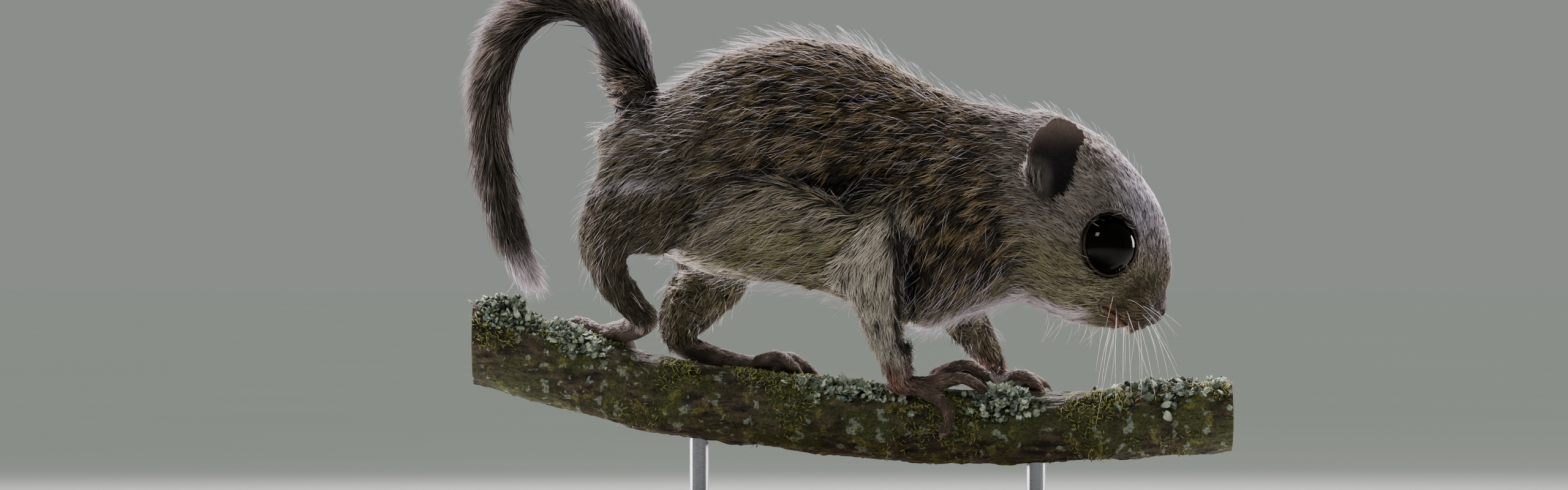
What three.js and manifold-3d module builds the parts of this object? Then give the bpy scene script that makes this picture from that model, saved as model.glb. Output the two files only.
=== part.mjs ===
// A young flying squirrel walking along a cut length of branch: a still, life-size
// model on a plain display stand.
// Millimetres. The animal faces +X, its left side is +Y and +Z is up. The origin is
// the middle of the underside of the base.
import * as THREE from "three";
import { mergeVertices } from "three/addons/utils/BufferGeometryUtils.js";
import Module from "manifold-3d";

const wasm = await Module();
wasm.setup();

// Driving sizes
const GAP = 0.3; // clearance kept between neighbouring pieces
const FINEST = 0.04; // nothing smaller than this is kept where forms cross
const RIGHT = -1;
const LEFT = 1;

const BASE_LENGTH = 104;
const BASE_WIDTH = 54;
const BASE_HEIGHT = 5;
const BASE_CORNER = 12;
const BASE_BEVEL = 0.8;
const ROD_RADIUS = 1.6;
const ROD_PLACES = { stand_rod_rear: -25, stand_rod_front: 31 };

const PERCH_RADIUS = 6.3;
const PERCH_AXIS = [
  [-62.5, 37.2], [-46.4, 32.5], [-26.4, 27.5], [-8.2, 25.2],
  [10, 23.6], [28.2, 22.9], [46.4, 23.5], [63.5, 24.8],
];
const PERCH_STEPS = 18;
const PERCH_SIDES = 12;

// Trunk of the body: place along X, height of the back, height of the belly, half width
const TRUNK = [
  [-41.6, 70.6, 66.4, 1.6],
  [-40.2, 74.0, 61.6, 6.2],
  [-37.0, 76.0, 56.6, 9.8],
  [-33.0, 77.8, 53.0, 12.4],
  [-28.0, 80.8, 50.0, 14.4],
  [-22.0, 84.8, 48.0, 15.6],
  [-16.0, 87.1, 47.0, 16.2],
  [-10.0, 88.1, 46.4, 16.3],
  [-4.0, 87.8, 45.2, 16.0],
  [2.0, 86.3, 43.0, 15.2],
  [8.0, 83.3, 40.8, 14.2],
  [14.0, 79.9, 39.6, 13.2],
  [20.0, 77.9, 41.4, 12.3],
  [26.0, 76.8, 42.6, 11.5],
  [31.0, 75.4, 44.0, 10.8],
  [35.0, 71.0, 49.0, 8.5],
];
const TRUNK_SIDES = 20;
const TRUNK_PITCH = 3.2; // length of one step along the trunk
const TRUNK_SAG = 0.12; // how much wider the belly is than the back
const NECK_FROM = 18.5; // where the neck parts from the chest

// Head: distance from its centre to its outline, by angle above the forward direction
const HEAD_CENTRE = [38.5, 57.5];
const HEAD_HALF_WIDTH = 11.8;
const HEAD_TILT = THREE.MathUtils.degToRad(56); // the nose points down by this angle
const HEAD_OUTLINE = [
  [-180, 16.2], [-152, 16.0], [-118, 16.4], [-103, 16.1], [-93, 16.9],
  [-85, 17.6], [-76.5, 18.6], [-68.7, 19.8], [-60.5, 20.3], [-52.8, 20.4],
  [-45.8, 19.6], [-36.6, 18.8], [-28.3, 17.6], [-15.8, 15.8], [6.2, 13.9],
  [31.6, 12.8], [55.9, 13.1], [79.3, 14.7], [96.7, 17.0], [112.7, 19.6],
  [137, 18.4], [171, 16.2],
];
const HEAD_SIDES = 26;
const HEAD_SLICES = 12;
const HEAD_ROUNDNESS = 2.2;
const SNOUT_FROM = 5; // distance along the snout where the head starts to narrow
const SNOUT_TO = 20;
const SNOUT_NARROWING = 0.46;

const MUZZLE = {
  path: [[37, 0, 53], [42.4, 0, 48.8], [46.6, 0, 45.4], [49.4, 0, 43.4]],
  deep: [9.4, 7.6, 5.6, 3.9],
  wide: [9.6, 7.6, 5.2, 3.5],
};
const JAW = {
  path: [[35, 0, 47.4], [39.4, 0, 43.8], [42.6, 0, 41.6]],
  deep: [5.6, 3.9, 2.1],
  wide: [6.4, 4.4, 2.6],
};
const NOSE_PAD = { centre: [51.3, 0, 43.1], radii: [1.8, 1.9, 2.1], tilt: HEAD_TILT, sides: 8 };
const PAIRED_FACE_FORMS = [
  { centre: [46.6, 2.2, 43.5], radii: [4.8, 3.9, 4.2], tilt: HEAD_TILT, sides: 10 }, // whisker pad
  { centre: [37.0, 4.9, 50.2], radii: [9.4, 6.3, 7.6], tilt: HEAD_TILT, sides: 12 }, // cheek
  { centre: [42.5, 6.2, 53.3], radii: [6.7, 4.8, 6.9], tilt: 0, sides: 12 }, // flesh round the eye
];
const NOSTRIL = { centre: [52.2, 1.05, 41.5], radii: [0.75, 0.5, 0.42], turn: 0.2, sides: 8 };
const MOUTH_LINE = [[40.6, 43.6], [42.8, 42.6], [45.2, 40.8], [47.4, 37.4]]; // along X and up
const MOUTH_HALF = 0.28; // half the height of the cut
const MOUTH_DEPTH = 0.75;

const EYE_RADIUS = 5.2;
const EYE_FACES = [16, 11]; // round the eyeball and from pole to pole
const EYE_PLACE = [42.3, 6.9, 53.2];
const EYE_OPENING = [4.5, 5.1]; // half width and half height between the lids
const EYE_LOOK = [0.2, 0.97, 0.08]; // the way the left eye faces; the right one mirrors it
const EYE_BOWL_DEPTH = 2.6; // half depth of the hollow in front of the eyeball
const EYE_BOWL_SET = 1.6; // how far in front of the lids its middle is
const LID_THICKNESS = 0.6;
const LID_STAND = 0.3; // how far the lids stand in front of where the eyeball leaves them
const LID_FACES = [4, 18]; // round the rim of the lids and along it

const EAR_HEIGHT = 13.4;
const EAR_HALF_WIDTH = 5.9;
const EAR_CUP = 2.0;
const EAR_THICKNESS = 0.9;
const EAR_ROOT = [34.0, 11.8, 60.4];
const EAR_TIP = [34.4, 14.2, 73.2];
const EAR_FACING = [0.42, 0.9, -0.1];
const EAR_ROWS = 8;
const EAR_COLUMNS = 8;

// Plain helpers

// A smooth curve through evenly spaced values, read at t from 0 to 1.
function smooth(values) {
  const points = values.map((value, i) => new THREE.Vector3(i, value, 0));
  const curve = new THREE.CatmullRomCurve3(points, false, "catmullrom", 0.5);
  return (t) => curve.getPoint(THREE.MathUtils.clamp(t, 0, 1)).y;
}

// A smooth function of x through rows of [x, value, value, ...], one column at a time.
function column(rows, index) {
  const points = rows.map((row) => new THREE.Vector3(row[0], row[index], 0));
  const curve = new THREE.CatmullRomCurve3(points, false, "centripetal");
  const samples = curve.getPoints(rows.length * 12);
  return (x) => {
    const next = samples.findIndex((point) => point.x >= x);
    if (next <= 0) return next === 0 ? samples[0].y : samples.at(-1).y;
    const a = samples[next - 1];
    const b = samples[next];
    return a.y + ((b.y - a.y) * (x - a.x)) / (b.x - a.x);
  };
}

// Points at even turns round a ring, each made from its angle.
function around(sides, pointAt) {
  return Array.from({ length: sides }, (_, j) => pointAt((2 * Math.PI * j) / sides));
}

// The same run of numbers from 0 to 1 on every run of this file.
function dice(seed) {
  let state = seed;
  return () => {
    state = (state * 1664525 + 1013904223) % 4294967296;
    return state / 4294967296;
  };
}

// A closed solid through rings of as many points each, with a fan over each end.
function skinOver(rings) {
  const sides = rings[0].length;
  const points = rings.flat();
  const faces = [];
  for (let i = 0; i + 1 < rings.length; i++) {
    for (let j = 0; j < sides; j++) {
      const a = i * sides + j;
      const b = i * sides + ((j + 1) % sides);
      faces.push(a, b, b + sides, a, b + sides, a + sides);
    }
  }
  for (const [ring, turn] of [[0, 1], [rings.length - 1, -1]]) {
    const middle = new THREE.Vector3();
    rings[ring].forEach((point) => middle.add(point));
    points.push(middle.divideScalar(sides));
    for (let j = 0; j < sides; j++) {
      const a = ring * sides + j;
      const b = ring * sides + ((j + 1) % sides);
      faces.push(...(turn > 0 ? [b, a] : [a, b]), points.length - 1);
    }
  }
  const geometry = new THREE.BufferGeometry().setFromPoints(points);
  return solidOf(geometry.setIndex(faces));
}

// A closed sheet between two grids of points that are split into triangles alike.
function sheetBetween(front, back) {
  const across = front[0].length;
  const count = front.length * across;
  const points = [...front.flat(), ...back.flat()];
  const faces = [];
  const quad = (a, b, c, d) => faces.push(a, b, c, a, c, d);
  for (let i = 0; i + 1 < front.length; i++) {
    for (let j = 0; j + 1 < across; j++) {
      const a = i * across + j;
      faces.push(a, a + 1, a + across + 1, a, a + across + 1, a + across);
      const b = a + count;
      faces.push(b, b + across + 1, b + 1, b, b + across, b + across + 1);
    }
  }
  const rim = [];
  for (let j = 0; j + 1 < across; j++) rim.push(j);
  for (let i = 0; i + 1 < front.length; i++) rim.push(i * across + across - 1);
  for (let j = across - 1; j > 0; j--) rim.push((front.length - 1) * across + j);
  for (let i = front.length - 1; i > 0; i--) rim.push(i * across);
  rim.forEach((a, k) => {
    const b = rim[(k + 1) % rim.length];
    quad(b, a, a + count, b + count);
  });
  const geometry = new THREE.BufferGeometry().setFromPoints(points);
  return solidOf(geometry.setIndex(faces));
}

// A three.js geometry as a solid with its faces pointing out.
function solidOf(geometry) {
  const bare = new THREE.BufferGeometry();
  bare.setAttribute("position", geometry.getAttribute("position").clone());
  if (geometry.index) bare.setIndex(geometry.index.clone());
  const merged = mergeVertices(bare, 1e-4);
  const triVerts = new Uint32Array(merged.index.array);
  const vertProperties = new Float32Array(merged.attributes.position.array);
  const made = new wasm.Manifold(new wasm.Mesh({ numProp: 3, vertProperties, triVerts }));
  if (made.volume() > 0) return made;
  for (let i = 0; i < triVerts.length; i += 3) {
    [triVerts[i], triVerts[i + 1]] = [triVerts[i + 1], triVerts[i]];
  }
  return new wasm.Manifold(new wasm.Mesh({ numProp: 3, vertProperties, triVerts }));
}

function joined(solids) {
  return wasm.Manifold.union(solids);
}

function without(solid, cutters) {
  return cutters.length ? solid.subtract(joined(cutters)) : solid;
}

// The largest body of a solid.
function wholeOf(solid) {
  const bodies = solid.simplify(FINEST).decompose();
  bodies.sort((a, b) => b.volume() - a.volume());
  return bodies[0];
}

// Shapes shared by the parts

// A round-sided tube along a path of points, with a radius in the plane of the path and
// one across it for each point. Caps of 2 rings round its ends, of 1 ring bevel them. Grow
// moves its surface out.
const CAP_RINGS = { 1: [[0.6, 0.6]], 2: [[0.55, 0.75], [0.9, 0.3]] }; // shift and size, as shares
function limb({ path, deep, wide, steps = 9, sides = 12, caps = 2 }, grow = 0) {
  const curve = new THREE.CatmullRomCurve3(path.map((point) => new THREE.Vector3(...point)));
  const deepAt = smooth(deep);
  const wideAt = smooth(wide);
  const ringAt = (t, shift, share) => {
    const along = curve.getTangent(t);
    const side = new THREE.Vector3(0, 1, 0).addScaledVector(along, -along.y).normalize();
    const up = new THREE.Vector3().crossVectors(along, side);
    const centre = curve.getPoint(t).addScaledVector(along, shift * (deepAt(t) + grow));
    return around(sides, (turn) => centre.clone()
      .addScaledVector(up, (deepAt(t) + grow) * share * Math.sin(turn))
      .addScaledVector(side, (wideAt(t) + grow) * share * Math.cos(turn)));
  };
  const rounding = CAP_RINGS[caps];
  const rings = rounding.map(([shift, share]) => ringAt(0, -shift, share)).reverse();
  for (let i = 0; i <= steps; i++) rings.push(ringAt(i / steps, 0, 1));
  rings.push(...rounding.map(([shift, share]) => ringAt(1, shift, share)));
  return skinOver(rings);
}

// An ellipsoid with radii forward, sideways and up, its front tilted down by an angle.
function ball({ centre, radii, tilt, sides }, grow = 0) {
  const geometry = new THREE.SphereGeometry(1, sides, Math.round(sides * 0.7));
  geometry.scale(...radii.map((radius) => radius + grow)).rotateY(tilt);
  return solidOf(geometry.translate(...centre));
}

// A flat, tapered lock of three sides. It leaves its root along out and bends towards lie.
const LOCK_SHARES = [0, 0.4, 0.78, 1]; // where its rings are
const LOCK_WIDTHS = [0.85, 1, 0.66, 0.1]; // how wide it is there
const LOCK_BEND = 0.42; // how much of its length turns into the lie
const LOCK_ROLL = 1.1; // how fast its rings turn with it
function lock({ root, out, lie, flat, length, width, thickness }, grow = 0) {
  const rings = LOCK_SHARES.map((share, i) => {
    const bend = LOCK_BEND * share * share;
    const centre = root.clone()
      .addScaledVector(out, length * (share - bend))
      .addScaledVector(lie, length * bend);
    const turned = LOCK_ROLL * share;
    const along = out.clone().multiplyScalar(1 - turned).addScaledVector(lie, turned).normalize();
    const side = flat.clone().addScaledVector(along, -along.dot(flat)).normalize();
    const up = new THREE.Vector3().crossVectors(along, side);
    const half = (LOCK_WIDTHS[i] * width) / 2 + grow;
    const deep = (Math.min(1, LOCK_WIDTHS[i] * 1.25) * thickness) / 2 + grow;
    return [
      centre.clone().addScaledVector(side, half).addScaledVector(up, -0.5 * deep),
      centre.clone().addScaledVector(up, deep),
      centre.clone().addScaledVector(side, -half).addScaledVector(up, -0.5 * deep),
    ];
  });
  return skinOver(rings);
}

// Branch

const perchHeight = column(PERCH_AXIS, 1);

// A point on the branch: place along X, angle from the top towards +Y, height over the bark.
function onPerch(x, degrees, lift) {
  const turn = THREE.MathUtils.degToRad(degrees);
  const reach = PERCH_RADIUS + lift;
  return [x, reach * Math.sin(turn), perchHeight(x) + reach * Math.cos(turn)];
}

// Slow swells and knots of the bark, as a share of the radius: it thickens towards its rear
// end, thins to the front, and is nearly round under the feet.
function barkSwell(x, turn) {
  const taper = 0.14 * Math.exp(-(((x + 63) / 20) ** 2)) - 0.0022 * Math.max(0, x - 5);
  const underFeet = Math.cos(turn) > -0.3 && x > -44 && x < 33;
  const knots = 0.03 * Math.sin(2 * turn + 0.13 * x) + 0.018 * Math.sin(3 * turn + 0.4 * x);
  return taper + (underFeet ? 0.2 : 1) * knots;
}

function branch(grow = 0) {
  const rings = [];
  const [from, to] = [PERCH_AXIS[0][0], PERCH_AXIS.at(-1)[0]];
  for (let i = 0; i <= PERCH_STEPS; i++) {
    const x = from + ((to - from) * i) / PERCH_STEPS;
    rings.push(around(PERCH_SIDES, (turn) => {
      const reach = PERCH_RADIUS * (1 + barkSwell(x, turn)) + grow;
      return new THREE.Vector3(x, reach * Math.sin(turn), perchHeight(x) + reach * Math.cos(turn));
    }));
  }
  return skinOver(rings);
}

// Patches of leafy lichen: place along the branch, angle from its top, spread, lobes
const LICHEN_PATCHES = [
  { x: -55, angle: -12, length: 12, arc: 80, lobes: 9, rise: 3.0 },
  { x: -49, angle: -40, length: 8, arc: 50, lobes: 4, rise: 2.4 },
  { x: -1, angle: -42, length: 14, arc: 44, lobes: 4, rise: 1.7 },
  { x: 25.5, angle: -62, length: 7, arc: 40, lobes: 4, rise: 2.6 },
  { x: 52, angle: -25, length: 13, arc: 90, lobes: 4, rise: 2.0 },
];
const LICHEN_SUNK = 1.2; // how deep a lobe starts in the bark
const LICHEN_WIDTH = [3.4, 5.0];
const LICHEN_THICKNESS = 1.1;

// One patch's lobes: bent plates that rise from the bark and overlap like scales.
function lichenLobes(patch, random) {
  const lobes = [];
  for (let i = 0; i < patch.lobes; i++) {
    const x = patch.x + (random() - 0.5) * patch.length;
    const angle = patch.angle + (random() - 0.5) * patch.arc;
    const root = new THREE.Vector3(...onPerch(x, angle, -LICHEN_SUNK));
    const out = new THREE.Vector3(...onPerch(x, angle, 4)).sub(root).normalize();
    const heading = 2 * Math.PI * random();
    const side = new THREE.Vector3(0, out.z, -out.y);
    const lie = new THREE.Vector3(Math.cos(heading), 0, 0).addScaledVector(side, Math.sin(heading));
    const flat = new THREE.Vector3().crossVectors(out, lie).normalize();
    const length = patch.rise * (1.1 + 0.7 * random());
    const width = THREE.MathUtils.lerp(...LICHEN_WIDTH, random());
    lobes.push(lock({ root, out, lie, flat, length, width, thickness: LICHEN_THICKNESS }));
  }
  return lobes;
}

function perch() {
  const random = dice(7);
  const lichen = LICHEN_PATCHES.flatMap((patch) => lichenLobes(patch, random));
  return wholeOf(joined([branch(), ...lichen]));
}

// Trunk of the body

const backAt = column(TRUNK, 1);
const bellyAt = column(TRUNK, 2);
const halfAt = column(TRUNK, 3);

// A point of the trunk's coat: place along X, angle up from its left side, distance out.
function onTrunk(x, turn, grow) {
  const middle = (backAt(x) + bellyAt(x)) / 2;
  const tall = (backAt(x) - bellyAt(x)) / 2 + grow;
  const half = (halfAt(x) + grow) * (1 - TRUNK_SAG * Math.sin(turn));
  return new THREE.Vector3(x, half * Math.cos(turn), middle + tall * Math.sin(turn));
}

function trunk(from, to, grow = 0) {
  const rings = [];
  const steps = Math.ceil((to - from) / TRUNK_PITCH);
  for (let i = 0; i <= steps; i++) {
    const x = from + ((to - from) * i) / steps;
    rings.push(around(TRUNK_SIDES, (turn) => onTrunk(x, turn, grow)));
  }
  return skinOver(rings);
}

const TRUNK_REAR = TRUNK[0][0];
const TRUNK_FRONT = TRUNK.at(-1)[0];

function torso(grow = 0) {
  return trunk(TRUNK_REAR - grow, NECK_FROM + grow, grow);
}

function neck() {
  return wholeOf(without(trunk(NECK_FROM + GAP, TRUNK_FRONT), [skull(GAP)]));
}

// Head

const outlineAt = column(HEAD_OUTLINE.concat([[180, HEAD_OUTLINE[0][1]]]), 1);

// How much of its width the head keeps at a point of its middle plane.
function headWidthShare(x, z) {
  const ahead = (x - HEAD_CENTRE[0]) * Math.cos(HEAD_TILT);
  const forward = ahead - (z - HEAD_CENTRE[1]) * Math.sin(HEAD_TILT);
  return 1 - SNOUT_NARROWING * THREE.MathUtils.smoothstep(forward, SNOUT_FROM, SNOUT_TO);
}

// The rounded skull with its coat: its side outline, drawn in towards each cheek.
function skullForm(grow = 0) {
  const rings = [];
  for (let i = 0; i <= HEAD_SLICES; i++) {
    const slice = Math.sin(Math.PI * (i / HEAD_SLICES - 0.5));
    const share = THREE.MathUtils.clamp(slice, -0.997, 0.997);
    const drawn = (1 - Math.abs(share) ** HEAD_ROUNDNESS) ** (1 / HEAD_ROUNDNESS);
    rings.push(around(HEAD_SIDES, (turn) => {
      const angle = THREE.MathUtils.radToDeg(turn) - 180;
      const reach = (outlineAt(angle) + grow) * drawn;
      const x = HEAD_CENTRE[0] - reach * Math.cos(turn);
      const z = HEAD_CENTRE[1] - reach * Math.sin(turn);
      return new THREE.Vector3(x, (HEAD_HALF_WIDTH * headWidthShare(x, z) + grow) * share, z);
    }));
  }
  return skinOver(rings);
}

// A form of the left side, or its mirror image.
function onSide(form, side) {
  const [x, y, z] = form.centre;
  return { ...form, centre: [x, side * y, z] };
}

// Fuller forms of the face: muzzle, lower jaw, nose pad, whisker pads, cheeks and the
// rings of flesh round the eyes.
function faceForms(grow = 0) {
  const forms = [
    limb({ ...MUZZLE, steps: 4, sides: 14, caps: 1 }, grow),
    limb({ ...JAW, steps: 3, sides: 8, caps: 1 }, grow),
    ball(NOSE_PAD, grow),
  ];
  for (const side of [RIGHT, LEFT]) {
    PAIRED_FACE_FORMS.forEach((form) => forms.push(ball(onSide(form, side), grow)));
  }
  return forms;
}

function skull(grow = 0) {
  return joined([skullForm(grow), ...faceForms(grow)]);
}

function eyePlace(side) {
  return [EYE_PLACE[0], side * EYE_PLACE[1], EYE_PLACE[2]];
}

function eyeball(side, grow = 0) {
  const geometry = new THREE.SphereGeometry(EYE_RADIUS + grow, ...EYE_FACES);
  return solidOf(geometry.translate(...eyePlace(side)));
}

// The way an eye looks, and the place along it where the lids ring the eyeball.
function eyeAxis(side) {
  const look = new THREE.Vector3(EYE_LOOK[0], side * EYE_LOOK[1], EYE_LOOK[2]).normalize();
  const reach = Math.sqrt(EYE_RADIUS ** 2 - ((EYE_OPENING[0] + EYE_OPENING[1]) / 2) ** 2);
  const rim = new THREE.Vector3(...eyePlace(side)).addScaledVector(look, reach + LID_STAND);
  const turn = new THREE.Quaternion().setFromUnitVectors(new THREE.Vector3(0, 0, 1), look);
  return { rim, turn };
}

// The ring of lids round an eye, where the eyeball comes out of the coat.
function lids(side) {
  const { rim, turn } = eyeAxis(side);
  const ring = new THREE.TorusGeometry(1, LID_THICKNESS / EYE_OPENING[1], ...LID_FACES);
  ring.scale(EYE_OPENING[0], EYE_OPENING[1], EYE_OPENING[1]);
  return solidOf(ring.applyQuaternion(turn).translate(...rim.toArray()));
}

// The coat is cleared off the front of the eyeball by this bowl.
function eyeBowl(side) {
  const { rim, turn } = eyeAxis(side);
  const bowl = new THREE.SphereGeometry(1, 12, 6).scale(...EYE_OPENING, EYE_BOWL_DEPTH);
  bowl.translate(0, 0, EYE_BOWL_SET).applyQuaternion(turn);
  return solidOf(bowl.translate(...rim.toArray()));
}

// The line of the mouth: a thin curved blade that cuts a little way into the lips.
function mouthLine() {
  const line = new THREE.SplineCurve(MOUTH_LINE.map((point) => new THREE.Vector2(...point)));
  const upper = [];
  const lower = [];
  for (const t of [0, 0.2, 0.4, 0.6, 0.8, 1]) {
    const point = line.getPoint(t);
    const normal = line.getTangent(t).rotateAround(new THREE.Vector2(), Math.PI / 2);
    upper.push(point.clone().addScaledVector(normal, MOUTH_HALF));
    lower.push(point.clone().addScaledVector(normal, -MOUTH_HALF));
  }
  const shape = new THREE.Shape([...upper, ...lower.reverse()]);
  const across = 16; // wider than the muzzle
  const blade = new THREE.ExtrudeGeometry(shape, { depth: across, bevelEnabled: false });
  blade.translate(0, 0, -across / 2).rotateX(Math.PI / 2);
  return solidOf(blade).subtract(skull(-MOUTH_DEPTH));
}

function nostrils() {
  return [RIGHT, LEFT].map((side) =>
    ball({ ...onSide(NOSTRIL, side), tilt: HEAD_TILT - side * NOSTRIL.turn }));
}

function head() {
  const open = without(skull(), [eyeBowl(RIGHT), eyeBowl(LEFT)]);
  const cuts = [eyeball(RIGHT, GAP), eyeball(LEFT, GAP), mouthLine(), ...nostrils()];
  return wholeOf(without(joined([open, lids(RIGHT), lids(LEFT)]), cuts));
}

// A cupped ear: a leaf that narrows to its root and to a rounded tip, and whose middle is
// set back from its edges, less so towards the tip.
function ear(side) {
  const place = (point) => new THREE.Vector3(point[0], side * point[1], point[2]);
  const root = place(EAR_ROOT);
  const up = place(EAR_TIP).sub(root).normalize();
  const facing = place(EAR_FACING);
  facing.addScaledVector(up, -facing.dot(up)).normalize();
  const across = new THREE.Vector3().crossVectors(up, facing);
  const front = [];
  const back = [];
  for (let i = 0; i <= EAR_ROWS; i++) {
    const v = i / EAR_ROWS;
    const narrowing = Math.abs(2 * v - 0.92) ** 2.6 / 1.22;
    const width = EAR_HALF_WIDTH * Math.sqrt(Math.max(0.04, 1 - narrowing));
    const cup = EAR_CUP * (1 - 0.75 * v * v);
    const frontRow = [];
    for (let j = 0; j <= EAR_COLUMNS; j++) {
      const a = (2 * j) / EAR_COLUMNS - 1;
      const curl = 1 - a * a;
      frontRow.push(root.clone()
        .addScaledVector(up, EAR_HEIGHT * v * (1 + 0.04 * curl))
        .addScaledVector(across, width * a)
        .addScaledVector(facing, -cup * curl + 0.5 * a * a));
    }
    front.push(frontRow);
    back.push(frontRow.map((point) => point.clone().addScaledVector(facing, -EAR_THICKNESS)));
  }
  return wholeOf(without(sheetBetween(front, back), [skull(GAP)]));
}

// Legs: paths from body to wrist or ankle, with a depth and a width at each point

const FORELEG = {
  right: {
    path: [[9.5, -8.2, 62], [5.2, -11.8, 55], [4.0, -12.6, 48.5], [5.6, -10.8, 41.5],
      [7.3, -7.6, 35.2], [8.1, -5.4, 31.4]],
    deep: [6.0, 6.6, 5.6, 4.3, 3.1, 2.3],
    wide: [5.0, 4.2, 3.6, 3.1, 2.5, 2.0],
  },
  left: {
    path: [[11.0, 8.4, 58], [13.6, 11.0, 51.5], [16.2, 11.2, 46.2], [19.4, 9.4, 41.2],
      [22.4, 7.0, 36.8], [24.2, 4.9, 33.6]],
    deep: [6.6, 5.6, 4.8, 3.7, 2.7, 2.0],
    wide: [5.0, 4.0, 3.5, 3.0, 2.4, 1.9],
  },
};
const HINDLEG = {
  right: {
    path: [[-26.5, -5.5, 64.5], [-33.6, -10.6, 60.5], [-39.2, -12.2, 55.2], [-39.6, -11.6, 49.4],
      [-37.0, -9.0, 44.8], [-34.0, -6.6, 41.4]],
    deep: [11.0, 9.8, 5.6, 3.4, 2.8, 2.3],
    wide: [8.6, 6.6, 4.6, 3.2, 2.6, 2.1],
  },
  left: {
    path: [[-27.5, 8.5, 62], [-23.5, 11.4, 55.5], [-22.6, 12.0, 49.6], [-25.4, 10.6, 44.8],
      [-27.8, 8.4, 41.0], [-28.2, 6.2, 38.4]],
    deep: [9.6, 8.2, 6.8, 5.6, 4.5, 3.4],
    wide: [6.0, 5.0, 4.4, 3.8, 3.2, 2.6],
  },
};

// Paws: the sole or palm, then each toe's knuckle, bend and tip on the branch, given as
// place along X, angle from the branch's top and height over the bark.
const HAND = {
  right: {
    palm: [[8.3, -38, 2.3], [10.8, -40, 2.0], [13.4, -36, 2.1], [15.4, -28, 2.3]],
    deep: [2.1, 1.7, 1.5, 1.3],
    wide: [1.9, 2.2, 2.5, 2.2],
    toes: [
      [[14.2, -4, 2.0], [18.0, 4, 3.4], [21.6, 8, 1.5]],
      [[15.0, -18, 2.4], [19.2, -13, 4.3], [22.8, -14, 2.2]],
      [[15.0, -33, 2.1], [18.8, -33, 3.3], [22.0, -37, 1.6]],
      [[12.4, -48, 1.6], [15.4, -60, 1.6], [16.4, -78, 1.3], [15.6, -94, 1.0]],
    ],
  },
  left: {
    palm: [[24.2, 29, 4.2], [25.2, 27, 3.2], [26.4, 25, 2.3], [27.2, 25, 2.0]],
    deep: [1.9, 1.7, 1.5, 1.3],
    wide: [1.9, 2.1, 2.4, 2.2],
    toes: [
      [[26.6, 12, 2.0], [28.6, 2, 2.5], [31.0, -4, 1.0]],
      [[27.2, 20, 2.0], [29.6, 16, 2.5], [32.2, 12, 1.0]],
      [[27.2, 30, 1.9], [29.6, 34, 2.3], [31.8, 36, 1.0]],
      [[26.4, 40, 1.8], [28.0, 52, 2.0], [29.2, 66, 1.0]],
    ],
  },
};
const FOOT = {
  right: {
    palm: [[-33.9, -30, 6.6], [-35.2, -20, 4.6], [-37.0, -8, 2.9], [-38.8, 6, 2.1], [-40.2, 16, 1.9]],
    deep: [1.9, 2.1, 2.0, 1.7, 1.4],
    wide: [1.9, 2.0, 2.2, 2.6, 2.6],
    toes: [
      [[-37.6, 26, 1.9], [-36.6, 46, 2.9], [-35.4, 62, 1.1]],
      [[-39.0, 28, 2.0], [-38.6, 52, 3.0], [-37.8, 72, 1.2]],
      [[-40.4, 28, 2.0], [-41.2, 52, 3.0], [-41.2, 72, 1.2]],
      [[-41.8, 24, 1.9], [-43.8, 44, 2.8], [-44.8, 60, 1.1]],
      [[-42.4, 12, 1.7], [-45.4, 22, 2.5], [-47.2, 32, 1.1]],
    ],
  },
  left: {
    palm: [[-28.0, 34, 4.4], [-25.6, 32, 3.2], [-22.2, 31, 2.5], [-18.0, 31, 2.1], [-13.6, 30, 2.1]],
    deep: [2.2, 2.2, 1.9, 1.6, 1.4],
    wide: [1.9, 2.1, 2.4, 2.8, 2.8],
    toes: [
      [[-15.0, 10, 1.9], [-12.0, 5, 2.8], [-9.0, 4, 1.1]],
      [[-13.6, 20, 2.0], [-10.0, 17, 3.1], [-6.4, 16, 1.2]],
      [[-13.2, 31, 2.0], [-9.4, 31, 3.1], [-5.8, 31, 1.2]],
      [[-13.6, 42, 1.9], [-10.2, 44, 2.8], [-7.0, 46, 1.1]],
      [[-15.4, 52, 1.7], [-12.6, 58, 2.4], [-10.0, 61, 1.1]],
    ],
  },
};
const TOE_RADII = [1.15, 1.05, 0.8];
const LONG_TOE_RADII = [1.15, 1.1, 1.0, 0.8];
const CLAW_RADII = [0.42, 0.16];
const CLAW_LENGTH = 1.9;
const CLAW_DROP = 0.6; // how far its tip hooks down

// A toe with its claw: the claw carries on from the last joint and hooks down.
function toe(stops) {
  const path = stops.map((stop) => onPerch(...stop));
  const tip = new THREE.Vector3(...path.at(-1));
  const along = tip.clone().sub(new THREE.Vector3(...path.at(-2))).normalize();
  const [x, angle] = stops.at(-1);
  const raised = new THREE.Vector3(...onPerch(x, angle, 1));
  const down = new THREE.Vector3(...onPerch(x, angle, 0)).sub(raised);
  const claw = [0.45, 1].map((share) => tip.clone()
    .addScaledVector(along, CLAW_LENGTH * share)
    .addScaledVector(down, CLAW_DROP * share * share).toArray());
  const radii = [...(path.length === 3 ? TOE_RADII : LONG_TOE_RADII), ...CLAW_RADII];
  return limb({ path: [...path, ...claw], deep: radii, wide: radii, steps: 5, sides: 5, caps: 1 });
}

function paw({ palm, deep, wide, toes }, cutters) {
  const pad = { path: palm.map((stop) => onPerch(...stop)), deep, wide, steps: 4, sides: 8, caps: 1 };
  const whole = joined([limb(pad), ...toes.map(toe)]);
  return wholeOf(without(whole, cutters));
}

// Gliding membrane

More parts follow.
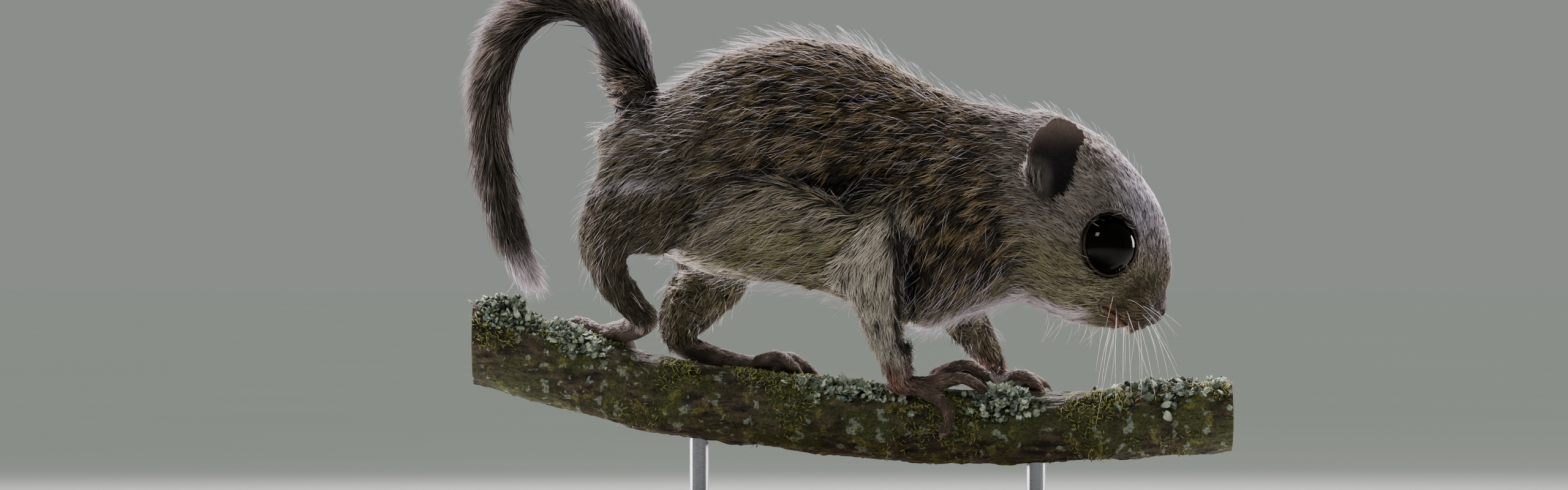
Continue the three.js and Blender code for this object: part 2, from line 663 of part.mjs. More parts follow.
const FOLD_FROM = -27;
const FOLD_TO = 7.3;
const FOLD_STEPS = 12;
const FOLD_ROWS = 6;
const FOLD_TOP = smooth([-38, -16, -8, -14, -17, -4]); // angle of the free edge on the flank
const FOLD_BOTTOM = smooth([-58, -62, -66, -68, -66, -60]);
const FOLD_STAND = smooth([0.2, 0.7, 0.9, 1.2, 2.2, 1.2]); // how far the free edge stands off
const FOLD_THICKNESS = smooth([0.25, 0.9, 1, 1, 0.9, 0.3]); // a share of the sizes below
const FOLD_EDGE = 0.6; // thickness where it starts and ends
const FOLD_SWELL = 1.5; // how much thicker its middle is
const FOLD_LIP = 0.9; // how much the lip along the free edge adds
const FOLD_RIPPLE = 0.25;

// The slack membrane folded along a flank: it hugs the belly and its free edge, above,
// stands off the flank as a soft lip, more so towards the elbow.
function membrane(side, cutters) {
  const inner = [];
  const outer = [];
  for (let i = 0; i <= FOLD_STEPS; i++) {
    const t = i / FOLD_STEPS;
    const x = FOLD_FROM + (FOLD_TO - FOLD_FROM) * t;
    const innerRow = [];
    const outerRow = [];
    for (let j = 0; j <= FOLD_ROWS; j++) {
      const down = j / FOLD_ROWS;
      const turn = THREE.MathUtils.degToRad(THREE.MathUtils.lerp(FOLD_TOP(t), FOLD_BOTTOM(t), down));
      const ripple = FOLD_RIPPLE * Math.sin(9 * down + 3 * t) ** 2;
      const stand = FOLD_STAND(t) * (1 - down) ** 2 + ripple;
      const lip = FOLD_LIP * Math.exp(-(((down - 0.12) / 0.16) ** 2));
      const swell = FOLD_SWELL * Math.sin(Math.PI * Math.min(1, down * 0.9 + 0.12)) + lip;
      const thick = FOLD_EDGE + swell * FOLD_THICKNESS(t);
      for (const [row, off] of [[innerRow, GAP + stand], [outerRow, GAP + stand + thick]]) {
        const point = onTrunk(x, turn, off);
        point.y *= side;
        row.push(point);
      }
    }
    inner.push(innerRow);
    outer.push(outerRow);
  }
  return wholeOf(without(sheetBetween(inner, outer), cutters));
}

// Tail

const TAIL_PATH = [
  [-32.6, 0, 71.5], [-35.4, 0, 78.5], [-37.2, 0, 85], [-40.8, 0, 90.2], [-46.8, 0, 92.8],
  [-53.2, 0, 90.6], [-57.6, 0, 84.4], [-59.3, 0, 77], [-59.4, 0, 70], [-58.4, 0, 63],
  [-56.8, 0, 56.6], [-54.6, 0, 51.0], [-53.2, 0, 48.0],
];
const TAIL_DEEP = smooth([5.0, 4.5, 4.2, 4.0, 3.9, 3.9, 3.8, 3.5, 3.5, 3.6, 3.1, 2.1, 1.0]);
const TAIL_WIDE = smooth([5.4, 6.0, 6.8, 7.4, 7.8, 8.0, 8.0, 7.8, 7.6, 7.2, 6.2, 4.2, 1.8]);
const TAIL_CORE = 0.55; // the core's share of the coat's reach
const TAIL_NODES = [
  { name: "tail_base", from: 0, to: 0.17 },
  { name: "tail_rise", from: 0.17, to: 0.37 },
  { name: "tail_arch", from: 0.37, to: 0.6 },
  { name: "tail_drop", from: 0.6, to: 1 },
];
const TAIL_TURNS = [-90, -18, 54, 126, 198]; // degrees round the tail
const TAIL_PITCH = 1 / 22; // one step of the core, as a share of the tail
const TAIL_SIDES = 8;
const LOCK_SPACING = 6;
const LOCK_STAGGER = 36; // degrees that every other ring of locks is turned
const LOCK_SPREAD = 22; // degrees that a lock may stray
const LOCK_LENGTH = 6.2;
const LOCK_REACH = 0.75; // how much longer it is for each millimetre that the coat reaches
const LOCK_WIDTH = 4.3;
const LOCK_THICKNESS = 2.6;
const tailCurve = new THREE.CatmullRomCurve3(TAIL_PATH.map((point) => new THREE.Vector3(...point)));
const tailLength = tailCurve.getLength();

// The tail's middle, its direction and its outward side at a share of its points.
function tailFrame(t) {
  const along = tailCurve.getTangent(t);
  const side = new THREE.Vector3(0, 1, 0);
  const up = new THREE.Vector3().crossVectors(along, side);
  return { centre: tailCurve.getPoint(t), along, side, up };
}

function tailCore(from, to, grow) {
  const rings = [];
  const steps = Math.round((to - from) / TAIL_PITCH);
  for (let i = 0; i <= steps; i++) {
    const t = from + ((to - from) * i) / steps;
    const { centre, side, up } = tailFrame(t);
    rings.push(around(TAIL_SIDES, (turn) => centre.clone()
      .addScaledVector(up, (TAIL_DEEP(t) * TAIL_CORE + grow) * Math.sin(turn))
      .addScaledVector(side, (TAIL_WIDE(t) * TAIL_CORE + grow) * Math.cos(turn))));
  }
  return skinOver(rings);
}

// The locks that grow from one length of the tail, in rings, long at the sides.
function tailLocks(from, to, grow) {
  const random = dice(Math.round(1000 * from) + 11);
  const locks = [];
  const rings = Math.max(2, Math.round(((to - from) * tailLength) / LOCK_SPACING));
  for (let i = 0; i < rings; i++) {
    const t = from + ((to - from) * (i + 0.35)) / rings;
    const { centre, along, side, up } = tailFrame(t);
    TAIL_TURNS.forEach((degrees) => {
      const stray = LOCK_SPREAD * (random() - 0.5) + (i % 2) * LOCK_STAGGER;
      const turn = THREE.MathUtils.degToRad(degrees + stray);
      const reach = new THREE.Vector3()
        .addScaledVector(up, TAIL_DEEP(t) * Math.sin(turn))
        .addScaledVector(side, TAIL_WIDE(t) * Math.cos(turn));
      const tall = reach.length();
      const radial = reach.clone().normalize();
      const root = centre.clone().addScaledVector(reach, TAIL_CORE * 0.6).addScaledVector(along, -1);
      const shorter = Math.min(1, 1.25 - 0.55 * t); // towards the tail's tip
      const length = (LOCK_LENGTH + LOCK_REACH * tall) * (0.9 + 0.2 * random()) * shorter;
      const out = radial.multiplyScalar(0.1 + 0.07 * tall).add(along).normalize();
      const flat = new THREE.Vector3().crossVectors(along, out).normalize();
      const width = LOCK_WIDTH * Math.min(1, 1.5 - t);
      const shape = { root, out, lie: along, flat, length, width, thickness: LOCK_THICKNESS };
      locks.push(lock(shape, grow));
    });
  }
  return locks;
}

function tailLengthSolid({ from, to }, grow = 0) {
  const clear = grow ? 0 : GAP / 2 / tailLength;
  const start = from === 0 ? 0 : from + clear;
  const end = to === 1 ? 1 : to - clear;
  return joined([tailCore(start, end, grow), ...tailLocks(from, to, grow)]);
}

// Display stand

function standBase() {
  const inset = BASE_CORNER + BASE_BEVEL;
  const corner = [BASE_LENGTH / 2 - inset, BASE_WIDTH / 2 - inset];
  const shape = new THREE.Shape();
  shape.absarc(corner[0], corner[1], BASE_CORNER, 0, Math.PI / 2);
  shape.absarc(-corner[0], corner[1], BASE_CORNER, Math.PI / 2, Math.PI);
  shape.absarc(-corner[0], -corner[1], BASE_CORNER, Math.PI, 1.5 * Math.PI);
  shape.absarc(corner[0], -corner[1], BASE_CORNER, 1.5 * Math.PI, 2 * Math.PI);
  const plate = new THREE.ExtrudeGeometry(shape, {
    depth: BASE_HEIGHT - 2 * BASE_BEVEL, curveSegments: 5,
    bevelThickness: BASE_BEVEL, bevelSize: BASE_BEVEL, bevelSegments: 1,
  });
  return solidOf(plate.translate(0, 0, BASE_BEVEL));
}

function standRod(x) {
  const top = perchHeight(x);
  const rod = new THREE.CylinderGeometry(ROD_RADIUS, ROD_RADIUS, top - BASE_HEIGHT - GAP, 16);
  rod.rotateX(Math.PI / 2).translate(x, 0, (top + BASE_HEIGHT + GAP) / 2);
  return wholeOf(without(solidOf(rod), [branch(GAP)]));
}

// The finished group

const model = new THREE.Group();
const finishes = {
  brown: new THREE.MeshStandardMaterial({ color: 0x7b6a52, roughness: 0.9 }),
  pale: new THREE.MeshStandardMaterial({ color: 0xb9b094, roughness: 0.9 }),
  grey: new THREE.MeshStandardMaterial({ color: 0x8d8577, roughness: 0.9 }),
  eye: new THREE.MeshStandardMaterial({ color: 0x080607, roughness: 0.08 }),
  ear: new THREE.MeshStandardMaterial({ color: 0x4f3b35, roughness: 0.7 }),
  skin: new THREE.MeshStandardMaterial({ color: 0xa58579, roughness: 0.65 }),
  bark: new THREE.MeshStandardMaterial({ color: 0x4a4a32, roughness: 0.95 }),
  wood: new THREE.MeshStandardMaterial({ color: 0x3a2a1f, roughness: 0.5 }),
  steel: new THREE.MeshStandardMaterial({ color: 0x8c8f91, roughness: 0.35, metalness: 1 }),
};

function add(name, solid, finish) {
  const { vertProperties, triVerts, numProp } = solid.getMesh();
  const places = new Float32Array((vertProperties.length / numProp) * 3);
  for (let i = 0; i < places.length / 3; i++) {
    places.set(vertProperties.subarray(i * numProp, i * numProp + 3), i * 3);
  }
  const geometry = new THREE.BufferGeometry();
  geometry.setAttribute("position", new THREE.BufferAttribute(places, 3));
  geometry.setIndex(new THREE.BufferAttribute(new Uint32Array(triVerts), 1));
  geometry.computeVertexNormals();
  const mesh = new THREE.Mesh(geometry, finishes[finish]);
  mesh.name = name;
  model.add(mesh);
}

const bodyClear = torso(GAP);
const barkClear = branch(GAP);
const legCutters = [bodyClear, barkClear, trunk(NECK_FROM, TRUNK_FRONT, GAP)];

add("torso", torso(), "brown");
add("neck", neck(), "brown");
add("head", head(), "grey");

const legsClear = {};
for (const [name, side] of [["right", RIGHT], ["left", LEFT]]) {
  add(`eye_${name}`, eyeball(side), "eye");
  add(`ear_${name}`, ear(side), "ear");
  const foreleg = FORELEG[name];
  const hindleg = HINDLEG[name];
  legsClear[name] = [limb(foreleg, GAP), limb(hindleg, GAP)];
  add(`foreleg_${name}`, wholeOf(without(limb(foreleg), legCutters)), "pale");
  add(`hindleg_${name}`, wholeOf(without(limb(hindleg), legCutters)), "brown");
  add(`hand_${name}`, paw(HAND[name], [barkClear, limb(foreleg, GAP)]), "skin");
  add(`foot_${name}`, paw(FOOT[name], [barkClear, limb(hindleg, GAP)]), "skin");
  add(`membrane_${name}`, membrane(side, [...legsClear[name], bodyClear]), "pale");
}

let before = [bodyClear, ...legsClear.right, ...legsClear.left];
for (const length of TAIL_NODES) {
  add(length.name, wholeOf(without(tailLengthSolid(length), before)), "grey");
  before = [tailLengthSolid(length, GAP)];
}

add("perch_branch", perch(), "bark");
add("stand_base", standBase(), "wood");
for (const [name, x] of Object.entries(ROD_PLACES)) {
  add(name, standRod(x), "steel");
}

export default model;
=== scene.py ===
"""A young flying squirrel walking along a cut length of branch, on a plain display stand.

Sizes are in millimetres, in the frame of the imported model: +X is forward, +Y the animal's
left and +Z up. A mesh is written in metres, at its place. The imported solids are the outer
form of the coat, so the skin here lies inside them by the depth of the coat.
"""

import logging
import math
from dataclasses import dataclass, field
from enum import Enum

import bmesh
import bpy
import numpy as np
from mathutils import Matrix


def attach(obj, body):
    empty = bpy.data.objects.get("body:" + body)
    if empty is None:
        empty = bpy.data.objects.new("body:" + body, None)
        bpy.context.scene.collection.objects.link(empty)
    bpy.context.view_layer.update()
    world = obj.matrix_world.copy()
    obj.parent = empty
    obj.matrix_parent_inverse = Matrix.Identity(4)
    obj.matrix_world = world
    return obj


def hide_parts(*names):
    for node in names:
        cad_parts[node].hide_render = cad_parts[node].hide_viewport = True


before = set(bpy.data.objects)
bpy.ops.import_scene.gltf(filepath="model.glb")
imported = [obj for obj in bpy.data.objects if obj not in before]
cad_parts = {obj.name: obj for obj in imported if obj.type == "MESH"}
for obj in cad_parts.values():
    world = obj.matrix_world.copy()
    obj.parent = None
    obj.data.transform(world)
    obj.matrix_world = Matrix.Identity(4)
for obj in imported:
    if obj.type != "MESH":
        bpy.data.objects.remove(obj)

Array = np.ndarray
Piece = bpy.types.Object
Material = bpy.types.Material
MM = 0.001
LOG = logging.getLogger("flying_squirrel")


# Plain maths


def smoothstep(low: float, high: float, value: Array) -> Array:
    """A soft step from 0 at low to 1 at high."""
    share = np.clip((value - low) / (high - low), 0, 1)
    return share * share * (3 - 2 * share)


def unit(vectors: Array) -> Array:
    """Rows scaled to length one."""
    return vectors / np.maximum(np.linalg.norm(vectors, axis=-1, keepdims=True), 1e-9)


def tangential(vectors: Array, normals: Array) -> Array:
    """What is left of each vector along the surface that has that normal."""
    return vectors - normals * np.sum(vectors * normals, axis=-1, keepdims=True)


def turns(count: int) -> Array:
    """Evenly spaced angles once round, in radians, without the last one."""
    return 2 * np.pi * np.arange(count) / count


def grid(rows: Array, columns: Array) -> tuple[Array, Array]:
    """Every pair of a row's and a column's value, as two arrays."""
    return np.meshgrid(rows, columns, indexing="ij")


def bell(away: Array, width: float) -> Array:
    """A bump that is 1 where away is 0 and falls to about a third at its width."""
    return np.exp(-((away / width) ** 2))


def spline(rows: Array | list | tuple, share: Array) -> Array:
    """A Catmull-Rom curve through evenly spaced rows.

    Args:
        rows: values, or points, one for each knot.
        share: where to read the curve, from 0 to 1.

    Returns:
        One value or point for each share.
    """
    knots = np.asarray(rows, float)
    last = len(knots) - 1
    place = np.clip(share, 0, 1) * last
    i = np.minimum(place.astype(int), last - 1)
    f = place - i
    if knots.ndim == 2:
        f = f[..., None]
    ends = np.concatenate([[2 * knots[0] - knots[1]], knots, [2 * knots[-1] - knots[-2]]])
    a, b, c, d = (ends[i + k] for k in range(4))
    square = (2 * a - 5 * b + 4 * c - d) * f**2
    cube = (3 * b - a - 3 * c + d) * f**3
    return 0.5 * (2 * b + (c - a) * f + square + cube)


def column(rows: tuple, index: int, at: Array) -> Array:
    """Reads a smooth curve through one column of rows whose first column is the place."""
    dense = spline(rows, np.linspace(0, 1, 12 * len(rows)))
    return np.interp(at, dense[:, 0], dense[:, index])


# Odd numbers that scramble a lattice corner's place into a random-looking one
CORNER_KEYS = (73856093, 19349663, 83492791)
SEED_KEY = 2654435
SCRAMBLE = (15731, 789221, 1376312589)
LARGEST = 0x7FFFFFFF
SEED_SHIFT = 37.7


def noise(points: Array, size: float, seed: int) -> Array:
    """Value noise: random numbers on a lattice, blended smoothly between its corners.

    Args:
        points: places, in millimetres.
        size: the lattice's spacing, in millimetres.
        seed: a whole number that picks the pattern.

    Returns:
        A number from 0 to 1 for each point.
    """
    place = points / size + SEED_SHIFT * seed
    cell = np.floor(place).astype(np.int64)
    f = place - cell
    f = f * f * (3 - 2 * f)
    total = np.zeros(len(points))
    for corner in np.ndindex(2, 2, 2):
        c = cell + np.array(corner)
        keyed = c * np.array(CORNER_KEYS)
        mixed = keyed[:, 0] ^ keyed[:, 1] ^ keyed[:, 2] ^ (seed * SEED_KEY)
        value = ((mixed * (mixed * SCRAMBLE[0] + SCRAMBLE[1]) + SCRAMBLE[2]) & LARGEST) / LARGEST
        weight = np.prod(np.where(np.array(corner) == 1, f, 1 - f), axis=1)
        total += value * weight
    return total


def three_noises(points: Array, size: float, seed: int) -> Array:
    """Three noises side by side, from three seeds in a row."""
    return np.stack([noise(points, size, seed + k) for k in range(3)], 1)


# Surfaces


@dataclass
class Form:
    """A closed surface: its points, in millimetres, and its triangles."""

    points: Array
    faces: Array

    def outward(self) -> "Form":
        """The same surface with its faces turned out, by the sign of its volume."""
        a, b, c = (self.points[self.faces[:, k]] for k in range(3))
        if np.einsum("ij,ij->", a, np.cross(b, c)) < 0:
            return Form(self.points, self.faces[:, ::-1])
        return self

    def across(self) -> tuple[Array, Array]:
        """Each face's middle, and its normal with a length of twice its area."""
        corners = self.points[self.faces]
        normals = np.cross(corners[:, 1] - corners[:, 0], corners[:, 2] - corners[:, 0])
        return corners.mean(axis=1), normals

    def normals(self) -> Array:
        """The normal at each point, from the faces round it weighted by their area."""
        _, across = self.across()
        sums = [
            np.bincount(self.faces.ravel(), np.repeat(across[:, k], 3), len(self.points))
            for k in range(3)
        ]
        return unit(np.stack(sums, axis=1))


def joined(forms: list[Form]) -> Form:
    """Several forms in one list of points and faces."""
    starts = np.cumsum([0] + [len(form.points) for form in forms[:-1]])
    return Form(
        np.concatenate([form.points for form in forms]),
        np.concatenate([form.faces + start for form, start in zip(forms, starts)]),
    )


def over_rings(rings: Array) -> Form:
    """A closed skin over rings of points, with a fan over each end.

    Args:
        rings: points in the shape (rings, points in a ring, 3).
    """
    count, sides, _ = rings.shape
    i, j = grid(np.arange(count - 1), np.arange(sides))
    a = (i * sides + j).ravel()
    b = (i * sides + (j + 1) % sides).ravel()
    walls = np.concatenate([np.stack([a, b, b + sides], 1), np.stack([a, b + sides, a + sides], 1)])
    first = np.arange(sides)
    following = (first + 1) % sides
    last = (count - 1) * sides
    poles = count * sides + np.array([0, 1])
    near = np.stack([following, first, np.full(sides, poles[0])], 1)
    far = np.stack([last + first, last + following, np.full(sides, poles[1])], 1)
    points = np.concatenate([rings.reshape(-1, 3), [rings[0].mean(0), rings[-1].mean(0)]])
    return Form(points, np.concatenate([walls, near, far])).outward()


def along_path(path: list, steps: int) -> tuple[Array, Array, Array, Array]:
    """Frames along a smooth path.

    Returns:
        The points of the path, its direction, the level side direction and the third one.
    """
    share = np.linspace(0, 1, steps + 1)
    centre = spline(path, share)
    along = unit(np.gradient(centre, axis=0))
    level = np.tile([0.0, 1.0, 0.0], (len(share), 1))
    side = unit(tangential(level, along))
    return centre, along, side, np.cross(along, side)


# Where the rings of a tube's round ends sit, as angles from its last station
CAP_TURNS = np.radians([18, 38, 58, 76])


def tube(
    path: list, deep: list, wide: list,
    steps: int = 24, sides: int = 28, grow: float = 0, least: float = 0.15,
) -> Form:
    """A round-ended tube: an ellipse carried along a path, with half an ellipsoid at each end.

    Args:
        path: points of the middle line.
        deep: half sizes in the plane of the path.
        wide: half sizes across it.
        steps: stations along the path.
        sides: points round each ring.
        grow: how far its surface moves out; less than 0 for a skin under its coat.
        least: the smallest half size it may have.
    """
    centre, along, side, up = along_path(path, steps)
    share = np.linspace(0, 1, steps + 1)
    tall = np.maximum(spline(deep, share) + grow, least)
    half = np.maximum(spline(wide, share) + grow, least)
    back = CAP_TURNS[::-1]
    index = np.concatenate([np.zeros(len(back), int), np.arange(steps + 1), np.full(len(back), steps)])
    shift = np.concatenate([-np.sin(back), np.zeros(steps + 1), np.sin(CAP_TURNS)]) * tall[index]
    keep = np.concatenate([np.cos(back), np.ones(steps + 1), np.cos(CAP_TURNS)])
    turn = turns(sides)
    middle = centre[index] + along[index] * shift[:, None]
    rings = (
        middle[:, None]
        + up[index][:, None] * (tall[index] * keep)[:, None, None] * np.sin(turn)[None, :, None]
        + side[index][:, None] * (half[index] * keep)[:, None, None] * np.cos(turn)[None, :, None]
    )
    return over_rings(rings)


def ball(centre: list, radii: list, tilt: float = 0, grow: float = 0, sides: int = 32) -> Form:
    """An ellipsoid with radii forward, sideways and up, its front tilted down by an angle."""
    rise = np.linspace(-np.pi / 2, np.pi / 2, sides // 2 + 1)[1:-1]
    turn = turns(sides)
    v, u = grid(rise, turn)
    size = np.asarray(radii, float) + grow
    x, y, z = size[0] * np.cos(v) * np.cos(u), size[1] * np.cos(v) * np.sin(u), size[2] * np.sin(v)
    tilted = [x * math.cos(tilt) + z * math.sin(tilt), y, -x * math.sin(tilt) + z * math.cos(tilt)]
    return over_rings(np.stack(tilted, axis=-1) + np.asarray(centre, float))


def write_mesh(name: str, form: Form, smooth: bool = True) -> Piece:
    """Puts a form into the scene as an object at the origin, with its place in its mesh."""
    mesh = bpy.data.meshes.new(name)
    count = len(form.faces)
    mesh.vertices.add(len(form.points))
    mesh.vertices.foreach_set("co", (form.points * MM).astype(np.float32).ravel())
    mesh.loops.add(3 * count)
    mesh.loops.foreach_set("vertex_index", form.faces.astype(np.int32).ravel())
    mesh.polygons.add(count)
    mesh.polygons.foreach_set("loop_start", np.arange(0, 3 * count, 3, dtype=np.int32))
    mesh.polygons.foreach_set("use_smooth", np.full(count, smooth))
    mesh.update(calc_edges=True)
    piece = bpy.data.objects.new(name, mesh)
    bpy.context.scene.collection.objects.link(piece)
    return piece


def read_mesh(mesh: bpy.types.Mesh) -> Form:
    """The points and triangles of a Blender mesh, in millimetres."""
    points = np.empty(3 * len(mesh.vertices), np.float32)
    mesh.vertices.foreach_get("co", points)
    mesh.calc_loop_triangles()
    faces = np.empty(3 * len(mesh.loop_triangles), np.int32)
    mesh.loop_triangles.foreach_get("vertices", faces)
    return Form(points.reshape(-1, 3).astype(float) / MM, faces.reshape(-1, 3))


def paint(piece: Piece, name: str, colours: Array) -> None:
    """Gives each point of a piece a colour and a fourth number, under an attribute's name."""
    layer = piece.data.attributes.new(name, "FLOAT_COLOR", "POINT")
    layer.data.foreach_set("color", colours.astype(np.float32).ravel())


def fused(forms: list[Form], voxel: float) -> Form:
    """One closed surface round overlapping forms, made with a voxel remesh."""
    piece = write_mesh("fusing", joined(forms))
    remesh = piece.modifiers.new("Remesh", "REMESH")
    remesh.mode = "VOXEL"
    remesh.voxel_size = voxel * MM
    shown = piece.evaluated_get(bpy.context.evaluated_depsgraph_get())
    made = read_mesh(shown.to_mesh())
    shown.to_mesh_clear()
    bpy.data.meshes.remove(piece.data)
    return made


def refined(form: Form, chosen: Array) -> Form:
    """Halves the edges whose two ends are chosen, and splits the faces that they bound."""
    piece = write_mesh("refining", form)
    sheet = bmesh.new()
    sheet.from_mesh(piece.data)
    sheet.verts.ensure_lookup_table()
    edges = [edge for edge in sheet.edges if all(chosen[end.index] for end in edge.verts)]
    bmesh.ops.subdivide_edges(sheet, edges=edges, cuts=1, use_grid_fill=True)
    bmesh.ops.triangulate(sheet, faces=sheet.faces[:])
    sheet.to_mesh(piece.data)
    sheet.free()
    made = read_mesh(piece.data)
    bpy.data.meshes.remove(piece.data)
    return made


class Weave:
    """The neighbours of each point of a surface, for evening it out."""

    def __init__(self, form: Form) -> None:
        """Lists every edge in both directions."""
        edges = np.concatenate([form.faces[:, [0, 1]], form.faces[:, [1, 2]], form.faces[:, [2, 0]]])
        edges = np.unique(np.sort(edges, axis=1), axis=0)
        self.start = np.concatenate([edges[:, 0], edges[:, 1]])
        self.end = np.concatenate([edges[:, 1], edges[:, 0]])
        self.count = len(form.points)
        self.degree = np.bincount(self.start, minlength=self.count)[:, None]

    def pulls(self, points: Array) -> Array:
        """From each point to the mean of its neighbours."""
        sums = [np.bincount(self.start, points[self.end, k], self.count) for k in range(3)]
        return np.stack(sums, axis=1) / self.degree - points


# How far each round pulls points to their neighbours' mean, and then pushes them away again
EVENING = (0.55, -0.57)


def relaxed(form: Form, rounds: int) -> Form:
    """Evens a surface without shrinking it: each round moves points to and from their neighbours."""
    weave = Weave(form)
    points = form.points.copy()
    for _ in range(rounds):
        for pull in EVENING:
            points = points + pull * weave.pulls(points)
    return Form(points, form.faces)


def filled(form: Form, rounds: int, share: Array) -> Form:
    """Fills creases and leaves ridges: points in a hollow move out along their normal.

    Args:
        form: the surface.
        rounds: how many steps; more fill wider creases.
        share: how much each point takes part, from 0 to 1.
    """
    weave = Weave(form)
    made = Form(form.points.copy(), form.faces)
    normals = made.normals()
    for step in range(rounds):
        if step % 6 == 0:
            normals = made.normals()
        rise = np.sum(weave.pulls(made.points) * normals, axis=1)
        made.points += normals * (0.9 * share * np.maximum(rise, 0))[:, None]
    return made


# Shader maths


class Wire:
    """A socket, or a number, that takes part in expressions: 1 - mask adds its Math nodes."""

    def __init__(self, board: "Board", socket: bpy.types.NodeSocket) -> None:
        """Keeps the socket and the board that its nodes go on."""
        self.board = board
        self.socket = socket

    def _maths(self, kind: str, first: "Wire | float", second: "Wire | float") -> "Wire":
        """One Math node of two values."""
        return self.board.node("ShaderNodeMath", {"operation": kind}, {0: first, 1: second})[0]

    def __add__(self, other: "Wire | float") -> "Wire":
        """Sum."""
        return self._maths("ADD", self, other)

    def __radd__(self, other: float) -> "Wire":
        """Sum."""
        return self._maths("ADD", other, self)

    def __sub__(self, other: "Wire | float") -> "Wire":
        """Difference."""
        return self._maths("SUBTRACT", self, other)

    def __rsub__(self, other: float) -> "Wire":
        """Difference from a number."""
        return self._maths("SUBTRACT", other, self)

    def __mul__(self, other: "Wire | float") -> "Wire":
        """Product."""
        return self._maths("MULTIPLY", self, other)

    def __rmul__(self, other: float) -> "Wire":
        """Product."""
        return self._maths("MULTIPLY", other, self)

    def step(self, low: float, high: float) -> "Wire":
        """A soft step from 0 at low to 1 at high."""
        settings = {"interpolation_type": "SMOOTHSTEP"}
        return self.board.node("ShaderNodeMapRange", settings, {0: self, 1: low, 2: high})[0]


class Board:
    """The node board of one material, with a Principled shader ready on it."""

    def __init__(self, name: str, roughness: float, **constants: float | tuple) -> None:
        """Starts a material.

        Args:
            name: the material's name.
            roughness: the shader's roughness where nothing is linked to it.
            constants: values for the shader's own sockets, with underscores for spaces.
        """
        self.material = bpy.data.materials.new(name)
        self.material.use_nodes = True
        self.tree = self.material.node_tree
        self.shader = self.tree.nodes["Principled BSDF"]
        self.shader.inputs["Roughness"].default_value = roughness
        for key, value in constants.items():
            self.shader.inputs[key.replace("_", " ")].default_value = value

    def node(self, kind: str, settings: dict, inputs: dict) -> list[Wire]:
        """Adds a node: its settings first, then the values or links of its sockets.

        Args:
            kind: the node's type.
            settings: its own properties.
            inputs: numbers, colours or wires by socket name or index.

        Returns:
            A wire from each of its outputs.
        """
        made = self.tree.nodes.new(kind)
        for key, value in settings.items():
            setattr(made, key, value)
        for key, value in inputs.items():
            if isinstance(value, Wire):
                self.tree.links.new(value.socket, made.inputs[key])
            elif isinstance(value, tuple) and len(value) == 3 and made.inputs[key].type == "RGBA":
                made.inputs[key].default_value = (*value, 1)
            else:
                made.inputs[key].default_value = value
        return [Wire(self, output) for output in made.outputs]

    def place(self, scale: tuple = (1, 1, 1)) -> Wire:
        """Object coordinates, stretched."""
        here = self.node("ShaderNodeTexCoord", {}, {})[3]
        return self.node("ShaderNodeMapping", {}, {"Vector": here, "Scale": scale})[0]

    def speckle(self, size: float, detail: float = 3, where: Wire | None = None) -> Wire:
        """Noise whose features are about size millimetres across."""
        inputs = {"Vector": where or self.place(), "Scale": 1 / (size * MM), "Detail": detail}
        return self.node("ShaderNodeTexNoise", {}, inputs)[0]

    def cells(self, size: float, where: Wire) -> Wire:
        """Distance to the nearest of scattered points, about size millimetres apart."""
        return self.node("ShaderNodeTexVoronoi", {}, {"Vector": where, "Scale": 1 / (size * MM)})[0]

    def attribute(self, name: str) -> tuple[Wire, Wire]:
        """The colour and the fourth number of an attribute."""
        outputs = self.node("ShaderNodeAttribute", {"attribute_name": name}, {})
        return outputs[0], outputs[3]

    def growth(self) -> Wire:
        """How far along its hair a point is, from 0 at the root to 1 at the tip."""
        return self.node("ShaderNodeSeparateColor", {}, {0: self.attribute("growth")[0]})[0]

    def mix(self, share: Wire | float, low: Wire | tuple, high: Wire | tuple) -> Wire:
        """A blend of two colours."""
        return self.node("ShaderNodeMix", {"data_type": "RGBA"}, {0: share, 6: low, 7: high})[2]

    def dim(self, colour: Wire, light: Wire | float) -> Wire:
        """A colour made lighter or darker by a number, through Vector Math."""
        return self.node("ShaderNodeVectorMath", {"operation": "SCALE"}, {0: colour, "Scale": light})[0]

    def relief(self, height: Wire, depth: float, under: Wire | None = None) -> Wire:
        """A Bump node for a height, with its full depth in millimetres."""
        inputs = {"Height": height, "Distance": depth * MM, "Strength": 1.0}
        if under:
            inputs["Normal"] = under
        return self.node("ShaderNodeBump", {}, inputs)[0]

    def feed(self, **wires: Wire) -> Material:
        """Links wires to the shader's sockets, named with underscores for spaces."""
        for key, value in wires.items():
            self.tree.links.new(value.socket, self.shader.inputs[key.replace("_", " ")])
        return self.material


def shade(code: str) -> tuple[float, float, float]:
    """A web colour as the linear values that shaders use."""
    parts = [int(code[k : k + 2], 16) / 255 for k in (0, 2, 4)]
    return tuple(v / 12.92 if v <= 0.04045 else ((v + 0.055) / 1.055) ** 2.4 for v in parts)


# Body forms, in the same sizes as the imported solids


class Side(Enum):
    """The two sides of the animal, with the sign of Y."""

    RIGHT = -1
    LEFT = 1

    @property
    def sign(self) -> Array:
        """What a point of the left side is multiplied by to get this side's."""
        return np.array([1, self.value, 1])


